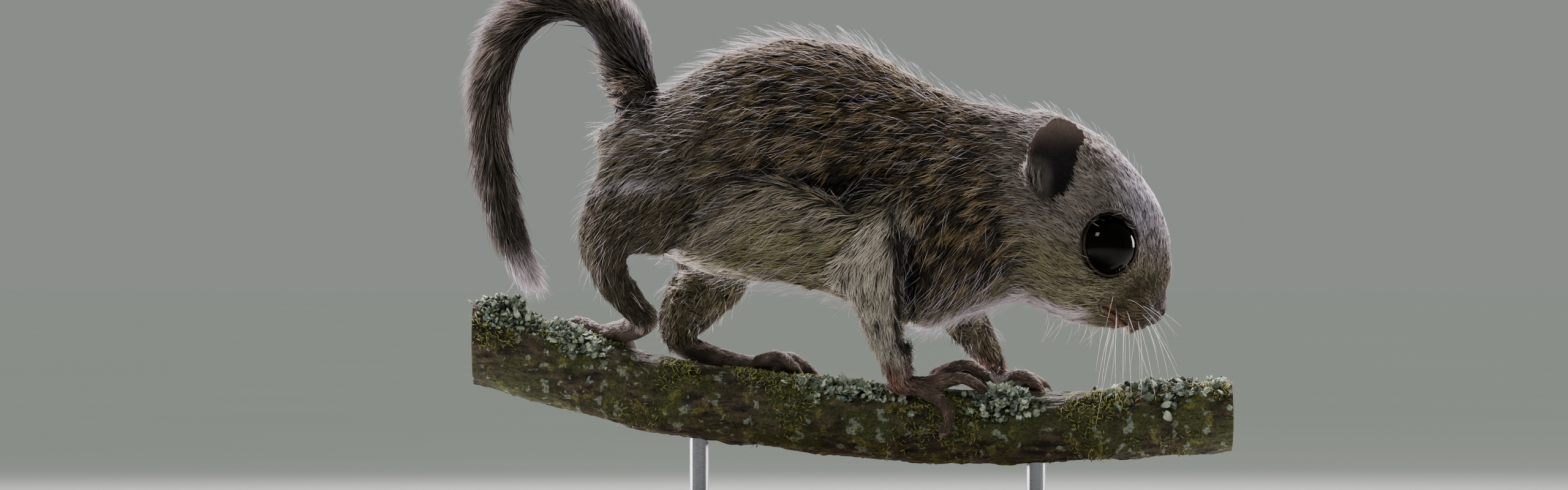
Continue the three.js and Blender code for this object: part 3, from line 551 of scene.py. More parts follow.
@dataclass(frozen=True)
class Perch:
    """The branch's middle line and radius, where the paws are set down."""

    radius: float = 6.3
    axis: tuple = (
        (-62.5, 37.2), (-46.4, 32.5), (-26.4, 27.5), (-8.2, 25.2),
        (10, 23.6), (28.2, 22.9), (46.4, 23.5), (63.5, 24.8),
    )

    def height(self, x: Array) -> Array:
        """Height of the middle line at a place along X."""
        return column(self.axis, 1, x)

    def point(self, x: Array, degrees: Array, lift: Array) -> Array:
        """A place along X, turned from the top towards +Y, over the bark by lift."""
        turn = np.radians(degrees)
        reach = self.radius + np.asarray(lift, float)
        x = np.asarray(x, float)
        return np.stack([x, reach * np.sin(turn), self.height(x) + reach * np.cos(turn)], axis=-1)

    def stops(self, rows: list) -> Array:
        """Points for a list of stops, each a place along X, an angle and a height."""
        values = np.asarray(rows, float)
        return self.point(values[:, 0], values[:, 1], values[:, 2])

    def swell(self, x: Array, turn: Array) -> Array:
        """Slow swells and knots of the wood, as a share of the radius."""
        taper = 0.14 * np.exp(-(((x + 63) / 20) ** 2)) - 0.0022 * np.maximum(0, x - 5)
        under_feet = (np.cos(turn) > -0.3) & (x > -44) & (x < 33)
        knots = 0.03 * np.sin(2 * turn + 0.13 * x) + 0.018 * np.sin(3 * turn + 0.4 * x)
        return taper + np.where(under_feet, 0.2, 1.0) * knots


PERCH = Perch()


@dataclass(frozen=True)
class Trunk:
    """Torso and neck: rows of place along X, height of the back and belly, and half width."""

    rows: tuple = (
        (-41.6, 70.6, 66.4, 1.6), (-40.2, 74.0, 61.6, 6.2), (-37.0, 76.0, 56.6, 9.8),
        (-33.0, 77.8, 53.0, 12.4), (-28.0, 80.8, 50.0, 14.4), (-22.0, 84.8, 48.0, 15.6),
        (-16.0, 87.1, 47.0, 16.2), (-10.0, 88.1, 46.4, 16.3), (-4.0, 87.8, 45.2, 16.0),
        (2.0, 86.3, 43.0, 15.2), (8.0, 83.3, 40.8, 14.2), (14.0, 79.9, 39.6, 13.2),
        (20.0, 77.9, 41.4, 12.3), (26.0, 76.8, 42.6, 11.5), (31.0, 75.4, 44.0, 10.8),
        (35.0, 71.0, 49.0, 8.5),
    )
    sag: float = 0.12
    coat: float = 1.25
    stations: int = 90
    sides: int = 72

    def back(self, x: Array) -> Array:
        """Height of the back."""
        return column(self.rows, 1, x)

    def belly(self, x: Array) -> Array:
        """Height of the belly."""
        return column(self.rows, 2, x)

    def at(self, x: Array, turn: Array, out: Array) -> Array:
        """A point of the coat: place along X, angle up from the left side, distance out."""
        back, belly = self.back(x), self.belly(x)
        tall = (back - belly) / 2 + out
        half = (column(self.rows, 3, x) + out) * (1 - self.sag * np.sin(turn))
        return np.stack([x, half * np.cos(turn), (back + belly) / 2 + tall * np.sin(turn)], axis=-1)

    def form(self) -> Form:
        """The skin of the trunk, a coat's depth inside its rows."""
        x = np.linspace(self.rows[0][0] + self.coat, self.rows[-1][0], self.stations)
        turn = turns(self.sides)
        u, v = grid(x, turn)
        inset = -np.minimum(self.coat, 0.35 * column(self.rows, 3, u))
        return over_rings(self.at(u, v, inset))


TRUNK = Trunk()


@dataclass(frozen=True)
class Head:
    """Skull, muzzle, jaw, cheeks, whisker pads and the flesh round the eyes."""

    centre: tuple = (38.5, 57.5)
    half_width: float = 11.8
    tilt: float = math.radians(56)
    outline: tuple = (
        (-180, 16.2), (-152, 16.0), (-118, 16.4), (-103, 16.1), (-93, 16.9),
        (-85, 17.6), (-76.5, 18.6), (-68.7, 19.8), (-60.5, 20.3), (-52.8, 20.4),
        (-45.8, 19.6), (-36.6, 18.8), (-28.3, 17.6), (-15.8, 15.8), (6.2, 13.9),
        (31.6, 12.8), (55.9, 13.1), (79.3, 14.7), (96.7, 17.0), (112.7, 19.6),
        (137, 18.4), (171, 16.2), (180, 16.2),
    )
    roundness: float = 2.2
    snout: tuple = (5, 20, 0.46)
    coat: float = 0.75
    face_coat: float = 0.35
    nose: tuple = (52.6, 0, 42.4)
    face: tuple = (44, 0, 50)
    face_reach: tuple = (12, 14, 13)
    finer_from: tuple = ((38.5, 61), (49.3, 45))
    nose_shade: tuple = (50.5, 0, 41.8)
    nose_pad: tuple = (51.5, 0, 42.4)
    nose_bare: tuple = (51.6, 0, 42.3)
    eye: tuple = (42.3, 6.9, 53.2)
    eye_radius: float = 5.2
    opening: tuple = (4.5, 5.1)
    look: tuple = (0.2, 0.97, 0.08)
    mouth: tuple = ((40.6, 43.6), (42.8, 42.6), (45.2, 40.8), (47.4, 37.4))
    nostril: tuple = (52.0, 1.05, 41.7)
    comma: tuple = (51.5, 1.75, 42.3)

    def width_share(self, x: Array, z: Array) -> Array:
        """How much of its width the head keeps: less along the snout."""
        level, high = x - self.centre[0], z - self.centre[1]
        forward = level * math.cos(self.tilt) - high * math.sin(self.tilt)
        start, end, narrowing = self.snout
        return 1 - narrowing * smoothstep(start, end, forward)

    def skull(self, slices: int = 46, sides: int = 96) -> Form:
        """The rounded skull: its side outline, drawn in towards each cheek."""
        share = np.clip(np.sin(np.pi * (np.linspace(0, 1, slices) - 0.5)), -0.997, 0.997)
        turn = turns(sides)
        s, v = grid(share, turn)
        drawn = (1 - np.abs(s) ** self.roundness) ** (1 / self.roundness)
        reach = (column(self.outline, 1, np.degrees(v) - 180) - self.coat) * drawn
        x = self.centre[0] - reach * np.cos(v)
        z = self.centre[1] - reach * np.sin(v)
        y = (self.half_width * self.width_share(x, z) - self.coat) * s
        return over_rings(np.stack([x, y, z], axis=-1))

    def forms(self) -> list[Form]:
        """Every form of the head's skin, the fuller ones of the face with a thinner coat."""
        thin = -self.face_coat
        muzzle_path = [[37, 0, 53], [42.4, 0, 48.8], [46.6, 0, 45.4], [49.4, 0, 43.4]]
        jaw_path = [[35, 0, 47.4], [39.4, 0, 43.8], [42.6, 0, 41.6]]
        made = [
            self.skull(),
            tube(muzzle_path, [9.4, 7.6, 5.6, 3.9], [9.6, 7.6, 5.2, 3.5], grow=thin),
            tube(jaw_path, [5.6, 3.9, 2.1], [6.4, 4.4, 2.6], grow=thin),
            ball([50.3, 0, 42.7], [2.0, 2.3, 2.4], self.tilt, -0.05),
        ]
        for side in Side:
            s = side.value
            made.append(ball([46.6, s * 2.2, 43.5], [4.8, 3.9, 4.2], self.tilt, thin))
            made.append(ball([37.0, s * 4.9, 50.2], [9.4, 6.3, 7.6], self.tilt, 1.5 * thin))
            made.append(ball([42.5, s * 6.2, 53.3], [6.7, 4.8, 6.9], 0, thin))
        return made

    def eye_place(self, side: Side) -> tuple[Array, Array, Array, Array]:
        """An eye's centre, the way it looks, and the level and steep directions across that."""
        look = unit(self.look * side.sign)
        steep = unit(tangential(np.array([0.0, 0.0, 1.0]), look))
        return self.eye * side.sign, look, np.cross(steep, look), steep

    def eye_share(self, points: Array, side: Side) -> tuple[Array, Array]:
        """How far points are from the middle of an eye's opening, 1 at its rim.

        Returns:
            That share, and the distance from the eye's centre. Points behind the eye get 9.
        """
        centre, look, level, steep = self.eye_place(side)
        away = points - centre
        across = np.hypot(away @ level / self.opening[0], away @ steep / self.opening[1])
        return np.where(away @ look > 0, across, 9.0), np.linalg.norm(away, axis=1)

    def nostrils(self, points: Array) -> Array:
        """How deep a point is in a nostril, from 0 to 1: a round hole with a slit up and back."""
        deep = np.zeros(len(points))
        for side in Side:
            hole = np.linalg.norm((points - self.nostril * side.sign) / [1.0, 0.5, 0.45], axis=1)
            slit = np.linalg.norm((points - self.comma * side.sign) / [0.9, 0.55, 0.3], axis=1)
            deep = np.maximum(deep, np.maximum(np.exp(-(hole**2)), 0.7 * np.exp(-(slit**2))))
        return deep

    def mouth_distance(self, points: Array) -> Array:
        """Distance from the line of the mouth in the side view."""
        line = spline(self.mouth, np.linspace(0, 1, 40))
        flat = points[:, [0, 2]]
        return np.min(np.linalg.norm(flat[:, None] - line[None], axis=2), axis=1)


HEAD = Head()


@dataclass(frozen=True)
class Ear:
    """A cupped ear: a leaf with a rounded tip whose middle is set back from its edges."""

    side: Side
    height: float = 13.6
    half_width: float = 6.1
    cup: float = 2.6
    thickness: float = 0.9
    root: tuple = (34.0, 11.8, 60.4)
    tip: tuple = (34.4, 14.2, 73.2)
    facing: tuple = (0.42, 0.9, -0.1)

    def axes(self) -> tuple[Array, Array, Array, Array]:
        """The root, and the directions up, out of the cup and across."""
        sign = self.side.sign
        root = self.root * sign
        up = unit(self.tip * sign - root)
        facing = unit(tangential(self.facing * sign, up))
        return root, up, facing, np.cross(up, facing)

    def form(self, rows: int = 34, columns: int = 26) -> Form:
        """The leaf: rings that run up its front and down its back at each height."""
        root, up, facing, across = self.axes()
        v = np.linspace(-0.12, 1, rows)[:, None]
        a = np.linspace(-1, 1, columns)[None, :]
        narrowing = np.abs(2 * v - 1.0) ** 2.4 / 1.05
        width = self.half_width * np.sqrt(np.maximum(0.03, 1 - narrowing))
        curl = 1 - a * a
        set_back = -self.cup * (1 - 0.75 * v * v) * curl + 0.5 * a * a
        front = (
            root
            + up * (self.height * v * (1 + 0.04 * curl))[..., None]
            + across * (width * a)[..., None]
            + facing * set_back[..., None]
        )
        wall = self.thickness * (1 - 0.35 * np.clip(v, 0, 1)) * (0.55 + 0.45 * np.sqrt(curl + 0.02))
        back = front - facing * wall[..., None]
        return over_rings(np.concatenate([front, back[:, ::-1]], axis=1))


@dataclass(frozen=True)
class Limb:
    """A leg from body to wrist or ankle: its path, and its half depth and half width."""

    path: tuple
    deep: tuple
    wide: tuple
    coat: float = 0.8

    def form(self) -> Form:
        """The skin of the leg, with less coat where the leg is thin."""
        inset = np.minimum(self.coat, 0.22 * np.array(self.deep))
        return tube(self.path, np.array(self.deep) - inset, np.array(self.wide) - inset, 40, 32)


@dataclass(frozen=True)
class Paw:
    """A hand or foot: stops of its palm, and of each toe from knuckle to tip, on the branch."""

    palm: tuple
    deep: tuple
    wide: tuple
    toes: tuple
    toe_radii: tuple = (1.12, 0.98, 0.86)
    pad: float = 0.95
    claw_length: float = 2.0
    claw_deep: tuple = (0.46, 0.36, 0.22, 0.05)
    claw_wide: tuple = (0.34, 0.28, 0.18, 0.05)

    def forms(self) -> list[Form]:
        """Palm, toes with a swollen knuckle and tip, and the pad under each tip."""
        made = [tube(PERCH.stops(self.palm), self.deep, self.wide, 20, 24, -0.12)]
        for stops in self.toes:
            path = PERCH.stops(stops)
            share = np.linspace(0, 1, len(stops))
            radii = np.interp(share, [0, 0.5, 1], self.toe_radii)
            made.append(tube(path, radii, radii, 18, 18))
            made.append(ball(path[-1] - [0, 0, 0.1], [self.pad, 0.85, 0.85], sides=16))
        return made

    def claws(self) -> list[Form]:
        """Curved claws: a tapered tube that carries on from each toe and hooks down."""
        made = []
        for stops in self.toes:
            path = PERCH.stops(stops)
            along = unit(path[-1] - path[-2])
            x, angle, _ = stops[-1]
            down = unit(PERCH.point(x, angle, 0) - PERCH.point(x, angle, 1))
            share = np.array([0.12, 0.4, 0.7, 1.0])[:, None]
            start = path[-1] - down * 0.35
            line = start + along * self.claw_length * share + down * 0.9 * share**2.2
            made.append(tube(line, self.claw_deep, self.claw_wide, 10, 10, 0, self.claw_deep[-1]))
        return made


LIMBS = (
    Limb(  # right foreleg
        ((9.5, -8.2, 62), (5.2, -11.8, 55), (4, -12.6, 48.5), (5.6, -10.8, 41.5), (7.3, -7.6, 35.2),
         (8.1, -5.4, 31.4)),
        (6.0, 6.6, 5.6, 4.3, 3.1, 2.3),
        (5.0, 4.2, 3.6, 3.1, 2.5, 2.0),
    ),
    Limb(  # left foreleg
        ((11, 8.4, 58), (13.6, 11, 51.5), (16.2, 11.2, 46.2), (19.4, 9.4, 41.2), (22.4, 7, 36.8),
         (24.2, 4.9, 33.6)),
        (6.6, 5.6, 4.8, 3.7, 2.7, 2.0),
        (5.0, 4.0, 3.5, 3.0, 2.4, 1.9),
    ),
    Limb(  # right hindleg
        ((-26.5, -5.5, 64.5), (-33.6, -10.6, 60.5), (-39.2, -12.2, 55.2), (-39.6, -11.6, 49.4),
         (-37, -9, 44.8), (-34, -6.6, 41.4)),
        (11.0, 9.8, 5.6, 3.4, 2.8, 2.3),
        (8.6, 6.6, 4.6, 3.2, 2.6, 2.1),
    ),
    Limb(  # left hindleg
        ((-27.5, 8.5, 62), (-23.5, 11.4, 55.5), (-22.6, 12, 49.6), (-25.4, 10.6, 44.8), (-27.8, 8.4, 41),
         (-28.2, 6.2, 38.4)),
        (9.6, 8.2, 6.8, 5.6, 4.5, 3.4),
        (6.0, 5.0, 4.4, 3.8, 3.2, 2.6),
    ),
)
PAWS = (
    Paw(  # right hand
        ((8.3, -38, 2.3), (10.8, -40, 2.0), (13.4, -36, 2.1), (15.4, -28, 2.3)),
        (2.1, 1.7, 1.5, 1.3),
        (1.9, 2.2, 2.5, 2.2),
        (
            ((14.2, -4, 2.0), (18.0, 4, 3.4), (21.6, 8, 1.5)),
            ((15.0, -18, 2.4), (19.2, -13, 4.3), (22.8, -14, 2.2)),
            ((15.0, -33, 2.1), (18.8, -33, 3.3), (22.0, -37, 1.6)),
            ((12.4, -48, 1.6), (15.4, -60, 1.6), (16.4, -78, 1.3), (15.6, -94, 1.0)),
        ),
    ),
    Paw(  # left hand
        ((24.2, 29, 4.2), (25.2, 27, 3.2), (26.4, 25, 2.3), (27.2, 25, 2.0)),
        (1.9, 1.7, 1.5, 1.3),
        (1.9, 2.1, 2.4, 2.2),
        (
            ((26.6, 12, 2.0), (28.6, 2, 2.5), (31.0, -4, 1.0)),
            ((27.2, 20, 2.0), (29.6, 16, 2.5), (32.2, 12, 1.0)),
            ((27.2, 30, 1.9), (29.6, 34, 2.3), (31.8, 36, 1.0)),
            ((26.4, 40, 1.8), (28.0, 52, 2.0), (29.2, 66, 1.0)),
        ),
    ),
    Paw(  # right foot
        ((-33.9, -30, 6.6), (-35.2, -20, 4.6), (-37.0, -8, 2.9), (-38.8, 6, 2.1), (-40.2, 16, 1.9)),
        (1.9, 2.1, 2.0, 1.7, 1.4),
        (1.9, 2.0, 2.2, 2.6, 2.6),
        (
            ((-37.6, 26, 1.9), (-36.6, 46, 2.9), (-35.4, 62, 1.1)),
            ((-39.0, 28, 2.0), (-38.6, 52, 3.0), (-37.8, 72, 1.2)),
            ((-40.4, 28, 2.0), (-41.2, 52, 3.0), (-41.2, 72, 1.2)),
            ((-41.8, 24, 1.9), (-43.8, 44, 2.8), (-44.8, 60, 1.1)),
            ((-42.4, 12, 1.7), (-45.4, 22, 2.5), (-47.2, 32, 1.1)),
        ),
    ),
    Paw(  # left foot
        ((-28.0, 34, 4.4), (-25.6, 32, 3.2), (-22.2, 31, 2.5), (-18.0, 31, 2.1), (-13.6, 30, 2.1)),
        (2.2, 2.2, 1.9, 1.6, 1.4),
        (1.9, 2.1, 2.4, 2.8, 2.8),
        (
            ((-15.0, 10, 1.9), (-12.0, 5, 2.8), (-9.0, 4, 1.1)),
            ((-13.6, 20, 2.0), (-10.0, 17, 3.1), (-6.4, 16, 1.2)),
            ((-13.2, 31, 2.0), (-9.4, 31, 3.1), (-5.8, 31, 1.2)),
            ((-13.6, 42, 1.9), (-10.2, 44, 2.8), (-7.0, 46, 1.1)),
            ((-15.4, 52, 1.7), (-12.6, 58, 2.4), (-10.0, 61, 1.1)),
        ),
    ),
)


@dataclass(frozen=True)
class Membrane:
    """The slack gliding membrane folded along a flank, its free edge a soft lip above."""

    side: Side
    start: float = -27
    end: float = 7.3
    top: tuple = (-38, -16, -8, -14, -17, -4)
    bottom: tuple = (-58, -62, -66, -68, -66, -60)
    stand: tuple = (0.2, 0.7, 0.9, 1.2, 2.2, 1.2)
    thickness: tuple = (0.25, 0.9, 1, 1, 0.9, 0.3)
    coat: float = 0.35

    def rows(self, t: Array, down: Array) -> tuple[Array, Array]:
        """The inner and outer surface at shares t along the flank and down from the edge."""
        x = self.start + (self.end - self.start) * t
        top, bottom = spline(self.top, t), spline(self.bottom, t)
        turn = np.radians(top + (bottom - top) * down)
        stand = spline(self.stand, t) * (1 - down) ** 2 + 0.25 * np.sin(9 * down + 3 * t) ** 2
        lip = 0.9 * bell(down - 0.12, 0.16)
        swell = 1.5 * np.sin(np.pi * np.minimum(1, down * 0.9 + 0.12)) + lip
        thick = 0.6 + swell * spline(self.thickness, t)
        sink = 1.6 * smoothstep(0.25, 0.6, down)
        inner = TRUNK.at(x, turn, self.coat + stand - sink)
        outer = TRUNK.at(x, turn, stand + thick - self.coat)
        return inner * self.side.sign, outer * self.side.sign

    def form(self) -> Form:
        """The sheet: rings that run down its outer side and up its inner side."""
        t, down = grid(np.linspace(0, 1, 80), np.linspace(0, 1, 30))
        inner, outer = self.rows(t, down)
        return over_rings(np.concatenate([outer, inner[:, ::-1]], axis=1))


@dataclass(frozen=True)
class MembraneEdge:
    """The free edge of a folded membrane in the side view: places along X and heights."""

    line: tuple = (
        (-24, 56.0), (-20, 58.3), (-16.9, 61.5), (-12, 63.4), (-6, 61.6),
        (-1.1, 59.8), (2.0, 61.0), (4.8, 62.9), (8.0, 63.2),
    )

    def below(self, points: Array) -> Array:
        """How far a point lies under the edge, less than 0 over it."""
        return column(self.line, 1, points[:, 0]) - points[:, 2]

    def along(self, points: Array) -> Array:
        """A share that fades to 0 at the ends of the edge."""
        return smoothstep(-25, -17, points[:, 0]) * smoothstep(9.5, 7, points[:, 0])


MEMBRANE_EDGE = MembraneEdge()


def arm_gap(points: Array) -> Array:
    """How deep a point is in the narrow gap between the near arm and the chest, from 0 to 1."""
    x, y, z = points.T
    middle = 9.8 + 0.03 * (z - 46)
    return bell(x - middle, 1.5) * smoothstep(36, 39, z) * smoothstep(59, 55, z) * (y < -2)


HEELS = ((6.6, -6.6, 31.4), (22.6, 5.2, 33.6))
HEEL_REACH = 2.2


def heel_share(points: Array) -> Array:
    """How far a point is on the bare pad at the back of a wrist, from 0 to 1."""
    away = [points - heel for heel in HEELS]
    return np.exp(-np.min([(way**2).sum(1) for way in away], axis=0) / HEEL_REACH**2)


@dataclass(frozen=True)
class Tail:
    """The bushy tail: the path of its middle, and half its depth and width with its hair."""

    path: tuple = (
        (-32.6, 0, 71.5), (-35.4, 0, 78.5), (-37.2, 0, 85), (-40.8, 0, 90.2), (-46.8, 0, 92.8),
        (-53.2, 0, 90.6), (-57.6, 0, 84.4), (-59.3, 0, 77), (-59.4, 0, 70), (-58.4, 0, 63),
        (-56.8, 0, 56.6), (-54.6, 0, 51.0), (-53.2, 0, 48.0),
    )
    deep: tuple = (5.0, 4.5, 4.2, 4.0, 3.9, 3.9, 3.8, 3.5, 3.5, 3.6, 3.1, 2.1, 1.0)
    wide: tuple = (5.4, 6.0, 6.8, 7.4, 7.8, 8.0, 8.0, 7.8, 7.6, 7.2, 6.2, 4.2, 1.8)
    core: float = 0.45
    root: float = 0.86
    skin_to: float = 0.93

    def form(self) -> Form:
        """The skin of the tail: thick at the rump, thin in its hair, short of its tip."""
        share = np.linspace(0, self.skin_to, 14)
        part = np.interp(share, [0, 0.28, self.skin_to], [self.root, self.core, 0.6 * self.core])
        path = spline(self.path, share)
        return tube(path, spline(self.deep, share) * part, spline(self.wide, share) * part, 90, 24)


TAIL = Tail()


# Coat


class Zone(Enum):
    """The parts of the coat, each with the record's material slot it belongs to."""

    BODY = "back_coat"
    HEAD = "head_coat"
    LEGS = "pale_coat"
    PAWS = "paw_skin"
    TAIL = "tail_coat"
    EARS = "ear_skin"

    @property
    def number(self) -> int:
        """Its place in the list of zones, which is how arrays name it."""
        return list(Zone).index(self)


@dataclass(frozen=True)
class Lie:
    """How the hair grows near one part.

    Attributes:
        length: of a tuft, in millimetres.
        width: of a tuft.
        density: tufts on a square millimetre.
        lift: how steeply it leaves the skin; 1 is about 45 degrees.
        fall: how much it hangs towards the ground.
    """

    zone: Zone
    length: float
    width: float
    density: float
    lift: float
    fall: float = 0.0

    def values(self) -> list[float]:
        """The numbers that are blended from one part to the next."""
        return [self.length, self.width, self.density, self.lift, self.fall]


class Grooming:
    """The lie of the coat: guide points inside the body that each pull nearby hair."""

    SHARPNESS = 3.2
    BATCH = 20000

    def __init__(self) -> None:
        """Collects the guides of every part."""
        self.places: list[Array] = []
        self.ways: list[Array] = []
        self.reach: list[Array] = []
        self.values: list[Array] = []
        self.zones: list[Zone] = []
        self._trunk()
        self._head()
        for limb in LIMBS:
            self._limb(limb)
        for paw in PAWS:
            self._paw(paw)
        self._tail()
        for side in Side:
            self._ear(side)

    def _add(self, points: Array, ways: Array, reach: Array, lies: list[Lie]) -> None:
        """Adds a row of guides."""
        self.places.append(points)
        self.ways.append(unit(ways))
        self.reach.append(np.broadcast_to(reach, (len(points),)))
        self.values.append(np.array([lie.values() for lie in lies]))
        self.zones.extend(lie.zone for lie in lies)

    def _trunk(self) -> None:
        """Hair runs back along the trunk and down its flanks, longest on the back."""
        x = np.linspace(-38, 32, 16)
        middle = (TRUNK.back(x) + TRUNK.belly(x)) / 2
        reach = column(TRUNK.rows, 3, x)
        points = np.stack([x, 0 * x, middle], 1)
        ways = np.tile([-1.0, 0, -0.12], (len(x), 1))
        length = np.interp(x, [-38, -20, 0, 20, 32], [3.2, 3.9, 4.2, 3.7, 2.8])
        self._add(points, ways, reach, [Lie(Zone.BODY, v, 0.29, 6.6, 0.48, 0.42) for v in length])

    def _head(self) -> None:
        """Hair runs back from the nose over the face, short there and longer on the crown."""
        rows = [
            ((34, 0, 60), 13.5, 2.4, 0.2, 11.0, 0.42),
            ((40, 0, 57), 12.0, 1.8, 0.17, 14.0, 0.4),
            ((38, 0, 50), 11.0, 2.3, 0.19, 13.0, 0.46),
            ((43, 0, 50), 8.0, 1.4, 0.15, 18.0, 0.42),
            ((47, 0, 45.6), 5.2, 1.1, 0.12, 24.0, 0.42),
            ((50.4, 0, 43.4), 3.4, 0.7, 0.1, 28.0, 0.42),
            ((41, 0, 44), 4.6, 1.7, 0.16, 16.0, 0.46),
        ]
        for place, reach, length, width, density, lift in rows:
            point = np.array([place], float)
            way = point - np.array(HEAD.nose)
            self._add(point, way, reach, [Lie(Zone.HEAD, length, width, density, lift, 0.1)])

    def _limb(self, limb: Limb) -> None:
        """Hair runs down a leg, shorter towards the wrist or ankle."""
        share = np.linspace(0.12, 1, 9)
        points = spline(limb.path, share)
        ways = np.gradient(points, axis=0)
        reach = (spline(limb.deep, share) + spline(limb.wide, share)) / 2
        length = np.interp(share, [0, 0.4, 1], [3.6, 3.2, 2.0])
        width = np.interp(share, [0, 1], [0.25, 0.16])
        density = np.interp(share, [0, 1], [8.0, 15.0])
        lies = [Lie(Zone.LEGS, *row, 0.58, 0.05) for row in zip(length, width, density)]
        self._add(points, ways, reach, lies)

    def _paw(self, paw: Paw) -> None:
        """Very short hair runs along the back of a paw and of each toe."""
        palm = PERCH.stops(paw.palm)
        on_palm, on_toe = Lie(Zone.PAWS, 1.2, 0.12, 18, 0.42), Lie(Zone.PAWS, 0.8, 0.1, 13, 0.42)
        self._add(palm, np.gradient(palm, axis=0), 2.2, [on_palm] * len(palm))
        for stops in paw.toes:
            toe = PERCH.stops(stops)
            self._add(toe, np.gradient(toe, axis=0), 1.2, [on_toe] * len(toe))

    def _tail(self) -> None:
        """Long hair runs along the tail, and stands out to its two sides."""
        share = np.linspace(0.02, 0.95, 26)
        points = spline(TAIL.path, share)
        ways = np.gradient(points, axis=0)
        reach = spline(TAIL.wide, share) * 0.55
        length = np.interp(share, [0, 0.12, 0.6, 1], [7.5, 8.8, 9.0, 7.0])
        lies = [Lie(Zone.TAIL, v, 0.23, 15.0, 0.52) for v in length]
        self._add(points, ways, reach, lies)

    def _ear(self, side: Side) -> None:
        """Sparse down runs up the back of an ear."""
        root, up, facing, _ = Ear(side).axes()
        share = np.linspace(0.25, 1, 5)[:, None]
        points = root + up * 13.4 * share - facing * 1.2
        self._add(points, np.tile(up, (5, 1)), 4.4, [Lie(Zone.EARS, 0.9, 0.08, 8.0, 0.3)] * 5)
        tuft = np.array([[30.4, side.value * 12.2, 63.6]])
        self._add(tuft, up[None], 2.4, [Lie(Zone.EARS, 3.2, 0.17, 12.0, 0.9)])

    def read(self, points: Array, normals: Array) -> dict[str, Array]:
        """Reads the lie of the coat: guides weigh in by exp(-sharpness * distance^2 / reach^2).

        Args:
            points: places on the skin.
            normals: the skin's normal at each.

        Returns:
            The way the hair lies along the skin, each number of Lie, and the zone's index.
        """
        places, ways = np.concatenate(self.places), np.concatenate(self.ways)
        reach, values = np.concatenate(self.reach), np.concatenate(self.values)
        index = np.array([zone.number for zone in self.zones])
        lie = np.empty((len(points), 3))
        grown = np.empty((len(points), values.shape[1]))
        zone = np.empty(len(points), int)
        for start in range(0, len(points), self.BATCH):
            part = slice(start, start + self.BATCH)
            away = points[part, None] - places[None]
            near = np.einsum("ijk,ijk->ij", away, away) / reach**2
            zone[part] = index[np.argmin(near, axis=1)]
            near -= near.min(axis=1, keepdims=True)
            weight = np.exp(-self.SHARPNESS * near)
            weight /= weight.sum(axis=1, keepdims=True)
            lie[part] = weight @ ways
            grown[part] = weight @ values
        face = np.exp(-(((points - HEAD.face) / HEAD.face_reach) ** 2).sum(1))
        face = smoothstep(0.2, 0.6, face) * (zone == Zone.HEAD.number)
        lie += 2 * face[:, None] * unit(points - np.array(HEAD.nose))
        x, _, z = points.T
        chest = smoothstep(6, 13, x) * smoothstep(64, 54, z) * smoothstep(30, 24, x)
        lie[:, 2] -= grown[:, 4] + 0.7 * chest
        lie = unit(tangential(lie, normals))
        names = ["length", "width", "density", "lift"]
        return {"lie": lie, "zone": zone, **dict(zip(names, grown.T))}


